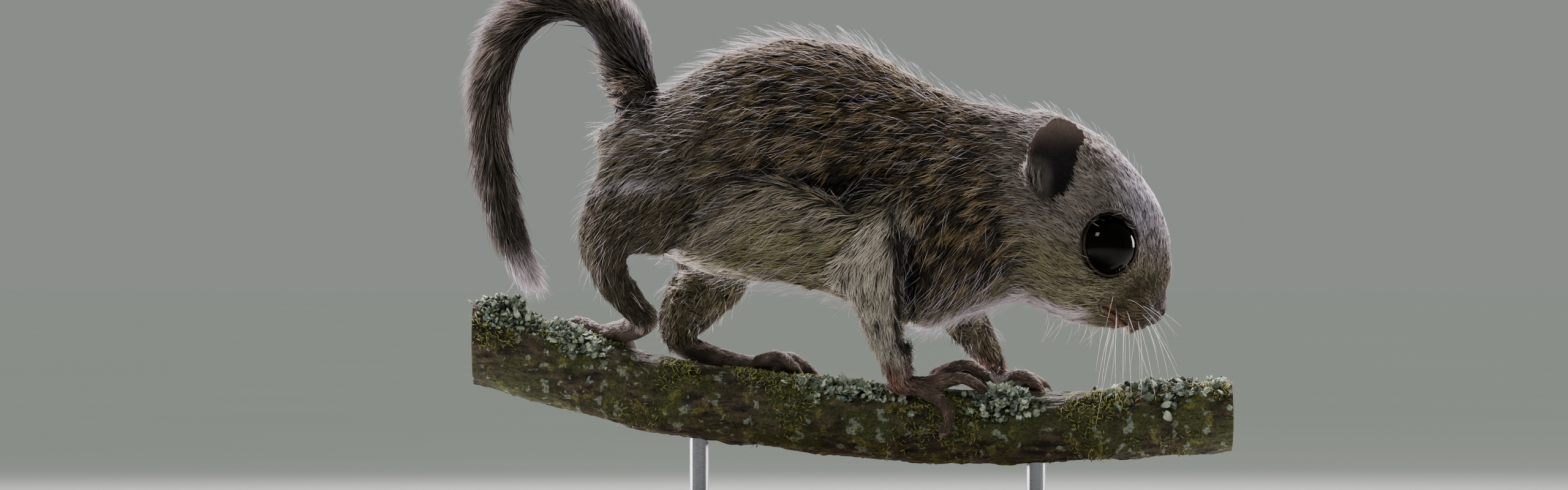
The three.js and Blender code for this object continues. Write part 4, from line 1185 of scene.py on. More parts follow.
class Markings:
    """The colours of the coat and skin, as a formula of the place on the animal."""

    BACK = shade("483b28")
    BACK_WARM = shade("6a5b43")
    BACK_DARK = shade("17120d")
    RUMP = shade("565042")
    CREAM = shade("8c8365")
    PALE = shade("969082")
    # Painted shade: the underside's cream, darkened and greened as it looks in shade
    SHADED_BELLY = shade("635e43")
    FOLD = shade("665f51")
    CROWN = shade("6a625b")
    FOREHEAD = shade("89818a")
    CHEEK = shade("68634b")
    MUZZLE = shade("4d4430")
    BRIDGE = shade("594f43")
    RING = shade("2c231c")
    NOSE = shade("2e221d")
    LIP = shade("6b4230")
    EAR = shade("1d1411")
    # Painted shade: near black deep in the ear's cup
    EAR_DEEP = shade("050303")
    # Painted backlight: the ear's upper part is lighter, as if lit through from behind
    EAR_TIP = shade("5f504a")
    TAIL = shade("2e281f")
    TAIL_DARK = shade("1f1b16")
    # Painted rim light: lavender-grey along the tail's edges in the side view
    TAIL_FRINGE = shade("3f393d")
    # The tail's nearly white tip; the same colour is painted under the throat as rim light
    TAIL_TIP = shade("cbbcc4")
    HAND = shade("755f54")
    FOOT = shade("7d6d62")
    LEG = shade("363023")
    HEEL = shade("94685a")
    # Painted shade: near black, laid into the gap behind the near arm, the pocket over the membrane's
    # lip, the mouth's line and the nostrils
    DARK = shade("110d0a")
    WHISKER_FAN = (42.5, 0, 38.0)
    FAN_STREAKS = 45

    @staticmethod
    def _layered(base: Array | tuple, *layers: tuple[Array | tuple, Array]) -> Array:
        """Paints layers over a base, each a colour, or one for each point, and its share."""
        base = np.asarray(base)
        for colour, share in layers:
            base = base + (np.array(colour) - base) * share[:, None]
        return base

    def colour(self, points: Array, normals: Array, zone: Array) -> Array:
        """The coat's colour at each point, in linear values, with painted shade and a painted rim light
        in it.
        """
        x, _, z = points.T
        is_zone = {kind: zone == kind.number for kind in Zone}
        # The head takes over from the neck along a soft slanting line
        headward = smoothstep(24, 31, x + 0.25 * (z - 60))
        headward = headward * (is_zone[Zone.HEAD] | is_zone[Zone.BODY])
        # Fur that faces down under the throat and chest, for a painted rim light
        chin = smoothstep(-0.72, -0.95, normals[:, 2]) * smoothstep(12, 18, x)
        base = self._layered(
            self._trunk(points),
            (self.TAIL, smoothstep(70, 76, z) * smoothstep(-27, -31, x)),
            (self._head(points), headward),
            # Painted rim light: the downward-facing throat and chest fur is painted nearly white
            (self.TAIL_TIP, 0.8 * chin * smoothstep(42, 39, x)),
        )
        base = np.where(is_zone[Zone.LEGS][:, None], self._legs(points, normals), base)
        base = np.where(is_zone[Zone.PAWS][:, None], self._paws(points), base)
        # Painted shade: the narrow gap between the near arm and the chest is painted near black
        base = self._layered(base, (self.DARK, 0.95 * arm_gap(points)))
        base = np.where(is_zone[Zone.TAIL][:, None], self._tail(points), base)
        return np.where(is_zone[Zone.EARS][:, None], self._ears(points, normals), base)

    def _trunk(self, points: Array) -> Array:
        """Warm brown above, tan-grey on the rump, cream below a soft wavy line that is painted darker as
        shade, and painted shade in the pocket over the membrane's lip.
        """
        x, _, z = points.T
        high = (z - TRUNK.belly(x)) / (TRUNK.back(x) - TRUNK.belly(x))
        high = high + 0.1 * (noise(points, 5, 3) - 0.5)
        streak = points * [0.45, 1, 1] + points[:, [0, 2, 1]] * [0, 0, 0.3]
        dark = smoothstep(0.45, 0.57, noise(streak, 1.0, 15)) * smoothstep(-36, -14, x)
        front = smoothstep(5, 12, x)
        line = 0.4 - 0.3 * front + 0.12 * smoothstep(22, 32, x)
        below = MEMBRANE_EDGE.below(points)
        under = smoothstep(0.04, -0.08, high - line)
        under = under + (smoothstep(-0.3, 0.8, below) - under) * MEMBRANE_EDGE.along(points)
        pale = smoothstep(2.0, 7.5, below + 2.5 * (noise(points, 4, 13) - 0.5))
        # Painted shade: the pocket over the membrane's lip is painted near black
        pocket = np.exp(-(((x - 1.5) / 5.8) ** 2) - ((z - 63.4) / 2.6) ** 2) * (under < 0.7)
        return self._layered(
            self.BACK,
            (self.BACK_WARM, smoothstep(0.42, 0.62, noise(streak, 0.95, 5))),
            (self.RUMP, 0.75 * smoothstep(-10, -32, x)),
            (self.BACK_DARK, 0.95 * dark * smoothstep(1.02, 0.8, high)),
            (self.FOLD, under),
            # Painted shade: below the membrane and under the chest the cream is painted darker, as in
            # shade
            (self.SHADED_BELLY, under * np.maximum(pale, front)),
            (self.DARK, smoothstep(0.12, 0.5, pocket)),
        )

    def _head(self, points: Array) -> Array:
        """Grey crown, lavender-grey forehead, pale cheeks and throat, dark rings round the eyes."""
        x, y, z = points.T
        low = z + 0.35 * (x - 40)
        # The dark streaks that the rows of whiskers grow from fan out from under the lip
        forward, sideways, up = (points - self.WHISKER_FAN).T
        rows = np.cos(self.FAN_STREAKS * np.arctan2(up, forward)) * (np.abs(sideways) > 1.5)
        reach = np.hypot(forward, up)
        rows = smoothstep(0.1, 0.8, rows) * smoothstep(2.8, 3.6, reach) * smoothstep(6.8, 5.2, reach)
        rings = [smoothstep(1.17, 1.05, HEAD.eye_share(points, side)[0]) for side in Side]
        mouth = HEAD.mouth_distance(points)
        nose = np.linalg.norm((points - HEAD.nose_shade) / [1.15, 1, 1], axis=1)
        return self._layered(
            self.CROWN,
            (self.FOREHEAD, smoothstep(42, 48, x) * smoothstep(50, 58, z)),
            (self.CHEEK, smoothstep(56, 49, low + 3 * (noise(points, 4, 8) - 0.5))),
            (self.CREAM, smoothstep(47, 41, z - 0.2 * (x - 40)) * smoothstep(43, 39, x)),
            (self.MUZZLE, smoothstep(43, 47.5, x) * smoothstep(50, 46, z)),
            (self.BRIDGE, 0.6 * smoothstep(4.5, 1, np.abs(y)) * smoothstep(53, 47, z) * (x > 46)),
            (self.RING, 0.7 * rows),
            *((self.RING, 0.8 * ring) for ring in rings),
            (self.LIP, 0.85 * smoothstep(1.3, 0.7, mouth) * smoothstep(41.5, 43, x)),
            # Painted shade: near black along the mouth's crease
            (self.DARK, smoothstep(0.4, 0.2, mouth)),
            (self.NOSE, smoothstep(5.0, 2.8, nose)),
            # Painted shade: near black inside the nostrils
            (self.DARK, smoothstep(0.3, 0.6, HEAD.nostrils(points))),
        )

    def _legs(self, points: Array, normals: Array) -> Array:
        """Grey-brown outside, cream inside, and a paler near foreleg."""
        x, y, z = points.T
        streak = np.exp(-(((x + 34.5) / 5.5) ** 2) - ((z - 64.0) / 0.9) ** 2)
        front = smoothstep(-12, 0, x) * (y < 0) * smoothstep(62, 57, z)
        inside = smoothstep(0.2, 0.8, -normals[:, 1] * np.sign(y))
        return self._layered(
            self.LEG,
            (self.RUMP, 0.6 * smoothstep(60, 65, z) * smoothstep(-15, -25, x)),
            (self.BACK, smoothstep(56, 62, z) * smoothstep(-15, 0, x)),
            (self.FOREHEAD, 0.8 * streak),
            # Painted shade: the belly's darkened cream, where it meets the hind leg
            (self.SHADED_BELLY, 0.8 * smoothstep(-24, -19, x) * smoothstep(60, 55, z) * (x < 0)),
            (self.PALE, front),
            (self.BACK_DARK, front * smoothstep(0.35, 0.7, normals[:, 0])),
            (self.CREAM, 0.45 * inside),
            (self.HAND, 0.6 * smoothstep(36.5, 33, z)),
            (self.HEEL, heel_share(points)),
        )

    def _paws(self, points: Array) -> Array:
        """Brownish-pink skin."""
        return self._layered(
            self.HAND,
            (self.FOOT, smoothstep(0, -10, points[:, 0])),
            (self.LEG, 0.6 * smoothstep(0.4, 0.75, noise(points, 1.4, 4))),
            (self.HEEL, heel_share(points)),
        )

    def _tail(self, points: Array) -> Array:
        """Dark brown-grey, with painted rim light paler along its edges in the side view, and nearly
        white at the tip.
        """
        x, _, z = points.T
        spine = spline(TAIL.path, np.linspace(0, 1, 60))
        away = points[:, None, [0, 2]] - spine[None, :, [0, 2]]
        near = np.min(np.einsum("ijk,ijk->ij", away, away), axis=1)
        # Painted rim light: the tail's edges in the side view, away from its middle line
        rim_lit_edge = smoothstep(1.0, 1.75, np.sqrt(near) + 0.5 * (noise(points, 1.1, 16) - 0.5))
        return self._layered(
            self.TAIL,
            (self.TAIL_DARK, 0.8 * smoothstep(0.3, 0.7, noise(points, 3.0, 6))),
            (self.TAIL_FRINGE, 0.7 * rim_lit_edge),
            (self.TAIL_TIP, smoothstep(59, 51, z) * (x < -45)),
        )

    def _ears(self, points: Array, normals: Array) -> Array:
        """Bare brown skin, painted lighter towards the top as backlight shining through, and painted
        nearly black deep in the cup as shade.
        """
        high = points[:, 2] + 1.2 * (noise(points, 2.5, 9) - 0.5)
        # Painted backlight: the ear is painted lighter towards its top
        layers = [(self.EAR_TIP, smoothstep(64, 77, high))]
        for side in Side:
            ear = Ear(side)
            root, up, facing, across = ear.axes()
            away = points - root
            sideways = np.abs(away @ across) / ear.half_width
            deep = smoothstep(1.1, 0.6, sideways) * smoothstep(14.5, 7.0, away @ up)
            inside = smoothstep(-0.3, 0.2, normals @ facing) * (points[:, 1] * side.value > 0)
            # Painted shade: the ear's cup is painted near black deep inside
            layers.append((self.EAR_DEEP, deep * inside))
        rear = points[:, 0] + 0.8 * (high - points[:, 2])
        pale = smoothstep(68.5, 65, high) * smoothstep(34.0, 30.5, rear)
        return self._layered(self.EAR, *layers, (self.CROWN, 0.8 * pale))


@dataclass
class Tufts:
    """Roots and growth of many tufts, ready to be built as one mesh."""

    roots: Array
    normals: Array
    lie: Array
    length: Array
    width: Array
    lift: Array
    colour: Array
    lot: Array
    patch: Array

    def part(self, chosen: Array) -> "Tufts":
        """Only the chosen tufts."""
        return Tufts(*(getattr(self, name)[chosen] for name in self.__dataclass_fields__))


class TuftMaker:
    """Builds tufts: closed, three-sided, tapered blades that bend down along the skin."""

    PATCH = 0.003
    FLATNESS = 0.42

    def __init__(self, stations: int, curl: float, sink: float = 0.05) -> None:
        """Sets the shape of a tuft.

        Args:
            stations: rings of three points under the tip.
            curl: how much of its rise it loses again towards its tip.
            sink: how deep its root goes into the skin, as a share of its length.
        """
        self.share = np.linspace(0, 1, stations + 1)
        self.curl = curl
        self.sink = sink

    def faces_each(self) -> int:
        """Triangles in one tuft."""
        return 6 * (len(self.share) - 2) + 4

    def build(self, name: str, tufts: Tufts) -> Piece:
        """Makes one piece of coat.

        The middle of a tuft at share s is root + length * (lie * (s - 0.2 rise) + normal * rise +
        side * bend), where rise is lift * s * (1 - curl * s). Its half width narrows to a point.

        Returns:
            The piece, with its colours and the OFBake unwrap.
        """
        s = self.share
        count, rings = len(tufts.roots), len(s) - 1
        side = np.cross(tufts.normals, tufts.lie)
        roll = (tufts.lot[:, None] - 0.5) * 1.2
        flat = unit(side + tufts.normals * roll)
        deep = unit(np.cross(tufts.lie, flat))
        rise = tufts.lift[:, None] * s * (1 - self.curl * s)
        bend = ((tufts.lot * 7.3) % 1 - 0.5)[:, None] * 0.34 * s**2
        run = s * np.sqrt(np.maximum(0.1, 1 - np.minimum(tufts.lift, 0.9)[:, None] ** 2 * 0.5))
        middle = tufts.roots[:, None] + tufts.length[:, None, None] * (
            tufts.lie[:, None] * run[..., None]
            + tufts.normals[:, None] * (rise - self.sink)[..., None]
            + side[:, None] * bend[..., None]
        )
        taper = (1 - s**2.2)[None, :rings] * tufts.width[:, None] / 2
        ring = middle[:, :rings]
        wing = flat[:, None] * taper[..., None]
        keel = deep[:, None] * (taper * self.FLATNESS)[..., None]
        corners = np.stack([ring + wing - keel, ring + 1.3 * keel, ring - wing - keel], axis=2)
        points = np.concatenate([corners.reshape(count, 3 * rings, 3), middle[:, rings:]], axis=1)
        each = 3 * rings + 1
        one = [[0, 2, 1]]
        for k in range(rings - 1):
            for a in range(3):
                b = (a + 1) % 3
                one += [[3 * k + a, 3 * k + b, 3 * k + 3 + b], [3 * k + a, 3 * k + 3 + b, 3 * k + 3 + a]]
        top = 3 * (rings - 1)
        one += [[top + a, top + (a + 1) % 3, each - 1] for a in range(3)]
        faces = (np.array(one)[None] + each * np.arange(count)[:, None, None]).reshape(-1, 3)
        form = Form(points.reshape(-1, 3), faces).outward()
        piece = write_mesh(name, form)
        paint(piece, "coat", np.repeat(np.c_[tufts.colour, tufts.lot], each, axis=0))
        station = np.concatenate([np.repeat(s[:rings], 3), s[rings:]])
        growth = np.zeros((count * each, 4))
        growth[:, 0] = np.tile(station, count)
        growth[:, 3] = 1
        paint(piece, "growth", growth)
        self._unwrap(piece, tufts, station)
        return piece

    def _unwrap(self, piece: Piece, tufts: Tufts, station: Array) -> None:
        """Lays each tuft out as a small patch at its root's place on the skin's unwrap."""
        each = len(station)
        across = np.concatenate([np.tile([0.0, 0.5, 1.0], (each - 1) // 3), [0.5]])
        local = np.stack([across, station], axis=1) - 0.5
        places = (tufts.patch[:, None] + self.PATCH * local[None]).reshape(-1, 2)
        corners = np.empty(len(piece.data.loops), np.int32)
        piece.data.loops.foreach_get("vertex_index", corners)
        layer = piece.data.uv_layers.new(name="OFBake")
        layer.uv.foreach_set("vector", np.clip(places[corners], 0, 1).astype(np.float32).ravel())


# Finishes


@dataclass(frozen=True)
class CoatFinish:
    """Hair: dark at its root, its own colour along it and a paler tip."""

    name: str
    root: float = 0.22
    tip: float = 2.1
    roughness: float = 0.5

    def make(self) -> Material:
        """Colour from the markings, banded along each tuft, with every tuft a little different."""
        board = Board(
            self.name, self.roughness, Specular_IOR_Level=0.22,
            Subsurface_Weight=0.3, Subsurface_Radius=(1.0, 0.9, 0.85), Subsurface_Scale=0.3 * MM,
        )
        colour, lot = board.attribute("coat")
        along = board.growth()
        band = self.root + (1 - self.root) * along.step(0.05, 0.55)
        band = band + (self.tip - 1) * along.step(0.6, 1.0)
        light = band * (0.4 + 1.1 * lot)
        ticked = board.mix(lot.step(0.25, 0.1) * 0.7, colour, shade("1d1915"))
        return board.feed(Base_Color=board.dim(ticked, light))


@dataclass(frozen=True)
class SkinFinish:
    """Skin: the coat's markings darkened, as the underfur between tufts, with fine hair relief."""

    name: str
    shade: float = 0.3

    def make(self) -> Material:
        """Darker where hair covers it, bare skin in its own colour, with fine folds."""
        board = Board(
            self.name, 0.6, Specular_IOR_Level=0.12,
            Subsurface_Weight=0.2, Subsurface_Radius=(1.0, 0.6, 0.45), Subsurface_Scale=0.6 * MM,
        )
        colour, bare = board.attribute("coat")
        fine = board.speckle(0.35, 4)
        light = (self.shade + (1 - self.shade) * bare) * (0.7 + 0.6 * fine)
        wrinkles = board.speckle(0.55, 5, board.place(scale=(1.6, 0.8, 0.8)))
        bump = board.relief(fine, 0.1, board.relief(wrinkles * bare, 0.3))
        return board.feed(Base_Color=board.dim(colour, light), Normal=bump)


@dataclass(frozen=True)
class EyeFinish:
    """A wet black eye, very dark brown where it turns to the light."""

    name: str = "eye_black"

    def make(self) -> Material:
        """Nearly black, with a clear wet coat and a faint brown iris pattern."""
        board = Board(self.name, 0.03, IOR=1.33, Specular_IOR_Level=0.12)
        streaks = board.speckle(1.2, 2)
        pupil, iris = (0.0008, 0.0006, 0.0006), (0.003, 0.0018, 0.001)
        return board.feed(Base_Color=board.mix(streaks.step(0.4, 0.8), pupil, iris))


@dataclass(frozen=True)
class HornFinish:
    """Claws: translucent brown horn, paler at the root, with grain along it."""

    name: str = "claw_horn"

    def make(self) -> Material:
        """Brown horn with streaks and a low sheen."""
        board = Board(self.name, 0.32, Specular_IOR_Level=0.5)
        streak = board.speckle(0.5, 3)
        colour = board.mix(streak.step(0.35, 0.7), shade("3a2c24"), shade("8d7563"))
        return board.feed(Base_Color=colour, Normal=board.relief(streak, 0.05))


@dataclass(frozen=True)
class WhiskerFinish:
    """Whiskers: white and glossy with a dark root."""

    name: str = "whisker_hair"

    def make(self) -> Material:
        """White along most of the hair, dark at the root, from the growth attribute."""
        board = Board(self.name, 0.3, Specular_IOR_Level=0.6)
        along = board.growth()
        return board.feed(Base_Color=board.mix(along.step(0.02, 0.3), shade("6b5c50"), shade("d8d2cc")))


@dataclass(frozen=True)
class BarkFinish:
    """Damp dark bark with long grain and warts, green algae and pale crusts of lichen."""

    name: str = "bark"

    def make(self) -> Material:
        """Colour by grain, algae and crusts at their own sizes, with relief of the grain and grit."""
        board = Board(self.name, 0.8, Specular_IOR_Level=0.15)
        grain = board.speckle(1.1, 8, board.place(scale=(0.3, 1, 1)))
        grit = board.speckle(0.35, 4)
        warts = board.cells(0.9, board.place(scale=(0.7, 1, 1)))
        colour = board.mix(grain.step(0.35, 0.65), shade("1d1912"), shade("463d2d"))
        green = board.speckle(7, 5).step(0.42, 0.6)
        colour = board.mix(green * 0.75, colour, shade("3a4020"))
        yellow = board.speckle(3.1, 5).step(0.56, 0.66)
        colour = board.mix(yellow * 0.5, colour, shade("6a6a2c"))
        crust = board.speckle(1.7, 6).step(0.58, 0.64)
        colour = board.mix(crust * 0.6, colour, shade("7b8374"))
        colour = board.mix(grit.step(0.55, 0.4) * 0.5, colour, shade("0d0b08"))
        height = grain * 0.7 + (1 - warts.step(0, 0.5)) * 0.3
        bump = board.relief(height, 0.8, board.relief(grit, 0.2))
        return board.feed(Base_Color=colour, Roughness=0.6 + 0.3 * grain, Normal=bump)


@dataclass(frozen=True)
class LichenFinish:
    """Leafy lichen: blue-grey with a paler dusty rim."""

    name: str = "lichen"

    def make(self) -> Material:
        """Each lobe its own shade, paler towards its rim, with a powdery relief."""
        board = Board(self.name, 0.85, Specular_IOR_Level=0.2)
        colour, lot = board.attribute("coat")
        dust = board.speckle(0.5, 4)
        light = (0.72 + 0.5 * lot) * (0.75 + 0.5 * dust)
        return board.feed(Base_Color=board.dim(colour, light), Normal=board.relief(dust, 0.25))


@dataclass(frozen=True)
class WoodFinish:
    """Oiled dark wood with long grain and pores."""

    name: str = "stand_wood"

    def make(self) -> Material:
        """Rings stretched along X, fine pores, and a satin finish."""
        board = Board(self.name, 0.5, Specular_IOR_Level=0.25)
        place = board.place(scale=(0.08, 1, 1))
        warp = board.speckle(9, 3, place)
        rings = board.node("ShaderNodeTexWave", {"wave_type": "BANDS", "bands_direction": "Y"}, {
            "Vector": place, "Scale": 60.0, "Distortion": 6.0, "Detail": 3.0, "Detail Scale": 1.4})[1]
        pores = board.speckle(0.5, 2, board.place(scale=(0.05, 1, 1)))
        colour = board.mix(rings * 0.6 + warp * 0.5, shade("2a1c13"), shade("5c4130"))
        colour = board.mix(pores.step(0.58, 0.7) * 0.5, colour, shade("160e09"))
        bump = board.relief(pores, 0.05)
        return board.feed(Base_Color=colour, Roughness=0.45 + 0.2 * warp, Normal=bump)


@dataclass(frozen=True)
class SteelFinish:
    """Brushed steel rod."""

    name: str = "stand_steel"

    def make(self) -> Material:
        """Fine rings round the rod, from brushing, over clean metal."""
        board = Board(self.name, 0.3, Metallic=1.0)
        brushed = board.speckle(0.25, 3, board.place(scale=(0.3, 0.3, 3)))
        colour = board.mix(brushed, shade("55585a"), shade("7c7f81"))
        bump = board.relief(brushed, 0.01)
        return board.feed(Base_Color=colour, Roughness=0.22 + 0.16 * brushed, Normal=bump)


@dataclass(frozen=True)
class FloorFinish:
    """Plain pale floor, with the faintest unevenness."""

    name: str = "studio_floor"

    def make(self) -> Material:
        """One pale grey with a little change over a hand's breadth."""
        board = Board(self.name, 0.9, Specular_IOR_Level=0.1)
        slow = board.speckle(120, 2)
        return board.feed(Base_Color=board.mix(slow, shade("c9cec6"), shade("d0d4cd")))


# Pieces


def ready(piece: Piece, material: Material) -> None:
    """Dresses a piece, lets it ride on the model and logs its faces."""
    piece.data.materials.append(material)
    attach(piece, "root")
    LOG.info("%s: %d faces", piece.name, len(piece.data.polygons))


def ear_fringe(points: Array, front: float) -> Array:
    """The share of down at the lower rear edge of an ear, that starts at front along X."""
    return smoothstep(front, 30.8, points[:, 0]) * smoothstep(68.5, 65, points[:, 2])


@dataclass
class Skin:
    """The one skin of the animal, from nose to tail tip."""

    voxel: float = 0.53
    even_rounds: int = 5
    fill_rounds: int = 60
    replaced: tuple = (
        "torso", "neck", "head", "ear_right", "ear_left",
        "foreleg_right", "foreleg_left", "hindleg_right", "hindleg_left",
        "hand_right", "hand_left", "foot_right", "foot_left",
        "membrane_right", "membrane_left",
        "tail_base", "tail_rise", "tail_arch", "tail_drop",
    )
    form: Form = field(init=False)

    def shape(self) -> Form:
        """Joins every form of flesh, evens it, then works the folds of the face into it."""
        forms = [TRUNK.form(), *HEAD.forms(), TAIL.form()]
        forms += [Ear(side).form() for side in Side]
        forms += [Membrane(side).form() for side in Side]
        forms += [limb.form() for limb in LIMBS]
        for paw in PAWS:
            forms += paw.forms()
        form = relaxed(fused(forms, self.voxel), self.even_rounds)
        form = relaxed(filled(form, self.fill_rounds, self._creased(form.points)), 2)
        form.points = self._flank_folds(form)
        for behind, above in HEAD.finer_from:
            finer = (form.points[:, 0] > behind) & (form.points[:, 2] < above)
            form = relaxed(refined(form, finer), 2)
        form.points = self._face_folds(form)
        return form

    def _creased(self, points: Array) -> Array:
        """Where creases between forms are filled: not in the ears, nor between the toes."""
        x, y, z = points.T
        ear = smoothstep(10.2, 11.2, np.abs(y)) * smoothstep(58, 60, z) * (x > 27)
        over_branch = np.hypot(y, z - PERCH.height(x)) - PERCH.radius
        edge = bell(MEMBRANE_EDGE.below(points), 3.5) * (np.abs(y) > 8)
        return (1 - ear) * (1 - 0.9 * edge) * (1 - arm_gap(points)) * smoothstep(3.5, 7, over_branch)

    def _flank_folds(self, form: Form) -> Array:
        """Turns the membrane's free edge out into a lip, with a pocket over it and a lump below."""
        points, normals = form.points, form.normals()
        below = MEMBRANE_EDGE.below(points)
        flank = smoothstep(7, 9, np.abs(points[:, 1])) * MEMBRANE_EDGE.along(points)
        lip = 0.8 * bell(below - 0.8, 0.9) - 1.1 * bell(below + 1.3, 1.1)
        lump = 0.9 * np.exp(-(((points[:, 0] + 11) / 4.5) ** 2) - ((points[:, 2] - 55.5) / 3.2) ** 2)
        hollow = -1.0 * np.exp(-(((points[:, 0] - 2.5) / 4) ** 2) - ((points[:, 2] - 63) / 1.8) ** 2)
        return points + normals * (flank * (lip + lump + hollow) - 2.4 * arm_gap(points))[:, None]

    def _face_folds(self, form: Form) -> Array:
        """Sets the eyes in, cuts the mouth, swells the lips and opens the nostrils."""
        points, normals = form.points.copy(), form.normals()
        for side in Side:
            across, _ = HEAD.eye_share(points, side)
            centre, look, _, _ = HEAD.eye_place(side)
            away = points - centre
            high = away @ look
            apart = np.linalg.norm(away - high[:, None] * look, axis=1)
            over_ball = np.sqrt(np.maximum(HEAD.eye_radius**2 - apart**2, 0.36))
            sunk = np.minimum(high, over_ball - 0.35)
            points = points + look * (smoothstep(1.14, 1.0, across) * (sunk - high))[:, None]
        mouth = HEAD.mouth_distance(points)
        sideways = smoothstep(0.2, 0.5, np.abs(points[:, 1]))
        groove = -0.5 * bell(mouth, 0.32) + 0.22 * bell(mouth - 0.85, 0.45)
        points += normals * (groove * sideways)[:, None]
        points -= normals * (0.85 * HEAD.nostrils(points))[:, None]
        below_nose = (points[:, 0] > 48.5) & (points[:, 2] < 42.5)
        philtrum = np.where(below_nose, bell(points[:, 1], 0.22), 0)
        points -= normals * (0.3 * philtrum)[:, None]
        return points

    def build(self, markings: Markings, grooming: Grooming) -> None:
        """Writes the skin, marks it as the coat is marked, and unwraps it."""
        self.form = self.shape()
        points, normals = self.form.points, self.form.normals()
        read = grooming.read(points, normals)
        colours = markings.colour(points, normals, read["zone"])
        bare = np.isin(read["zone"], [Zone.PAWS.number, Zone.EARS.number]).astype(float)
        bare *= 1 - ear_fringe(points, 33.2)
        nose = np.linalg.norm(points - HEAD.nose_pad, axis=1)
        bare = np.maximum(bare, smoothstep(3.0, 2.4, nose))
        lips = smoothstep(1.2, 0.8, HEAD.mouth_distance(points)) * (points[:, 0] > 40)
        bare = np.maximum(bare, lips)
        piece = write_mesh("skin", self.form)
        paint(piece, "coat", np.c_[colours, bare])
        self._unwrap(piece)
        ready(piece, SkinFinish("skin_under_coat").make())
        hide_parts(*self.replaced)

    def _unwrap(self, piece: Piece) -> None:
        """Lays the skin's own shape out flat, for the coat's patches."""
        bpy.context.view_layer.objects.active = piece
        piece.select_set(True)
        bpy.ops.object.mode_set(mode="EDIT")
        bpy.ops.mesh.select_all(action="SELECT")
        bpy.ops.uv.smart_project(angle_limit=math.radians(66), island_margin=0.002)
        bpy.ops.object.mode_set(mode="OBJECT")
        piece.select_set(False)


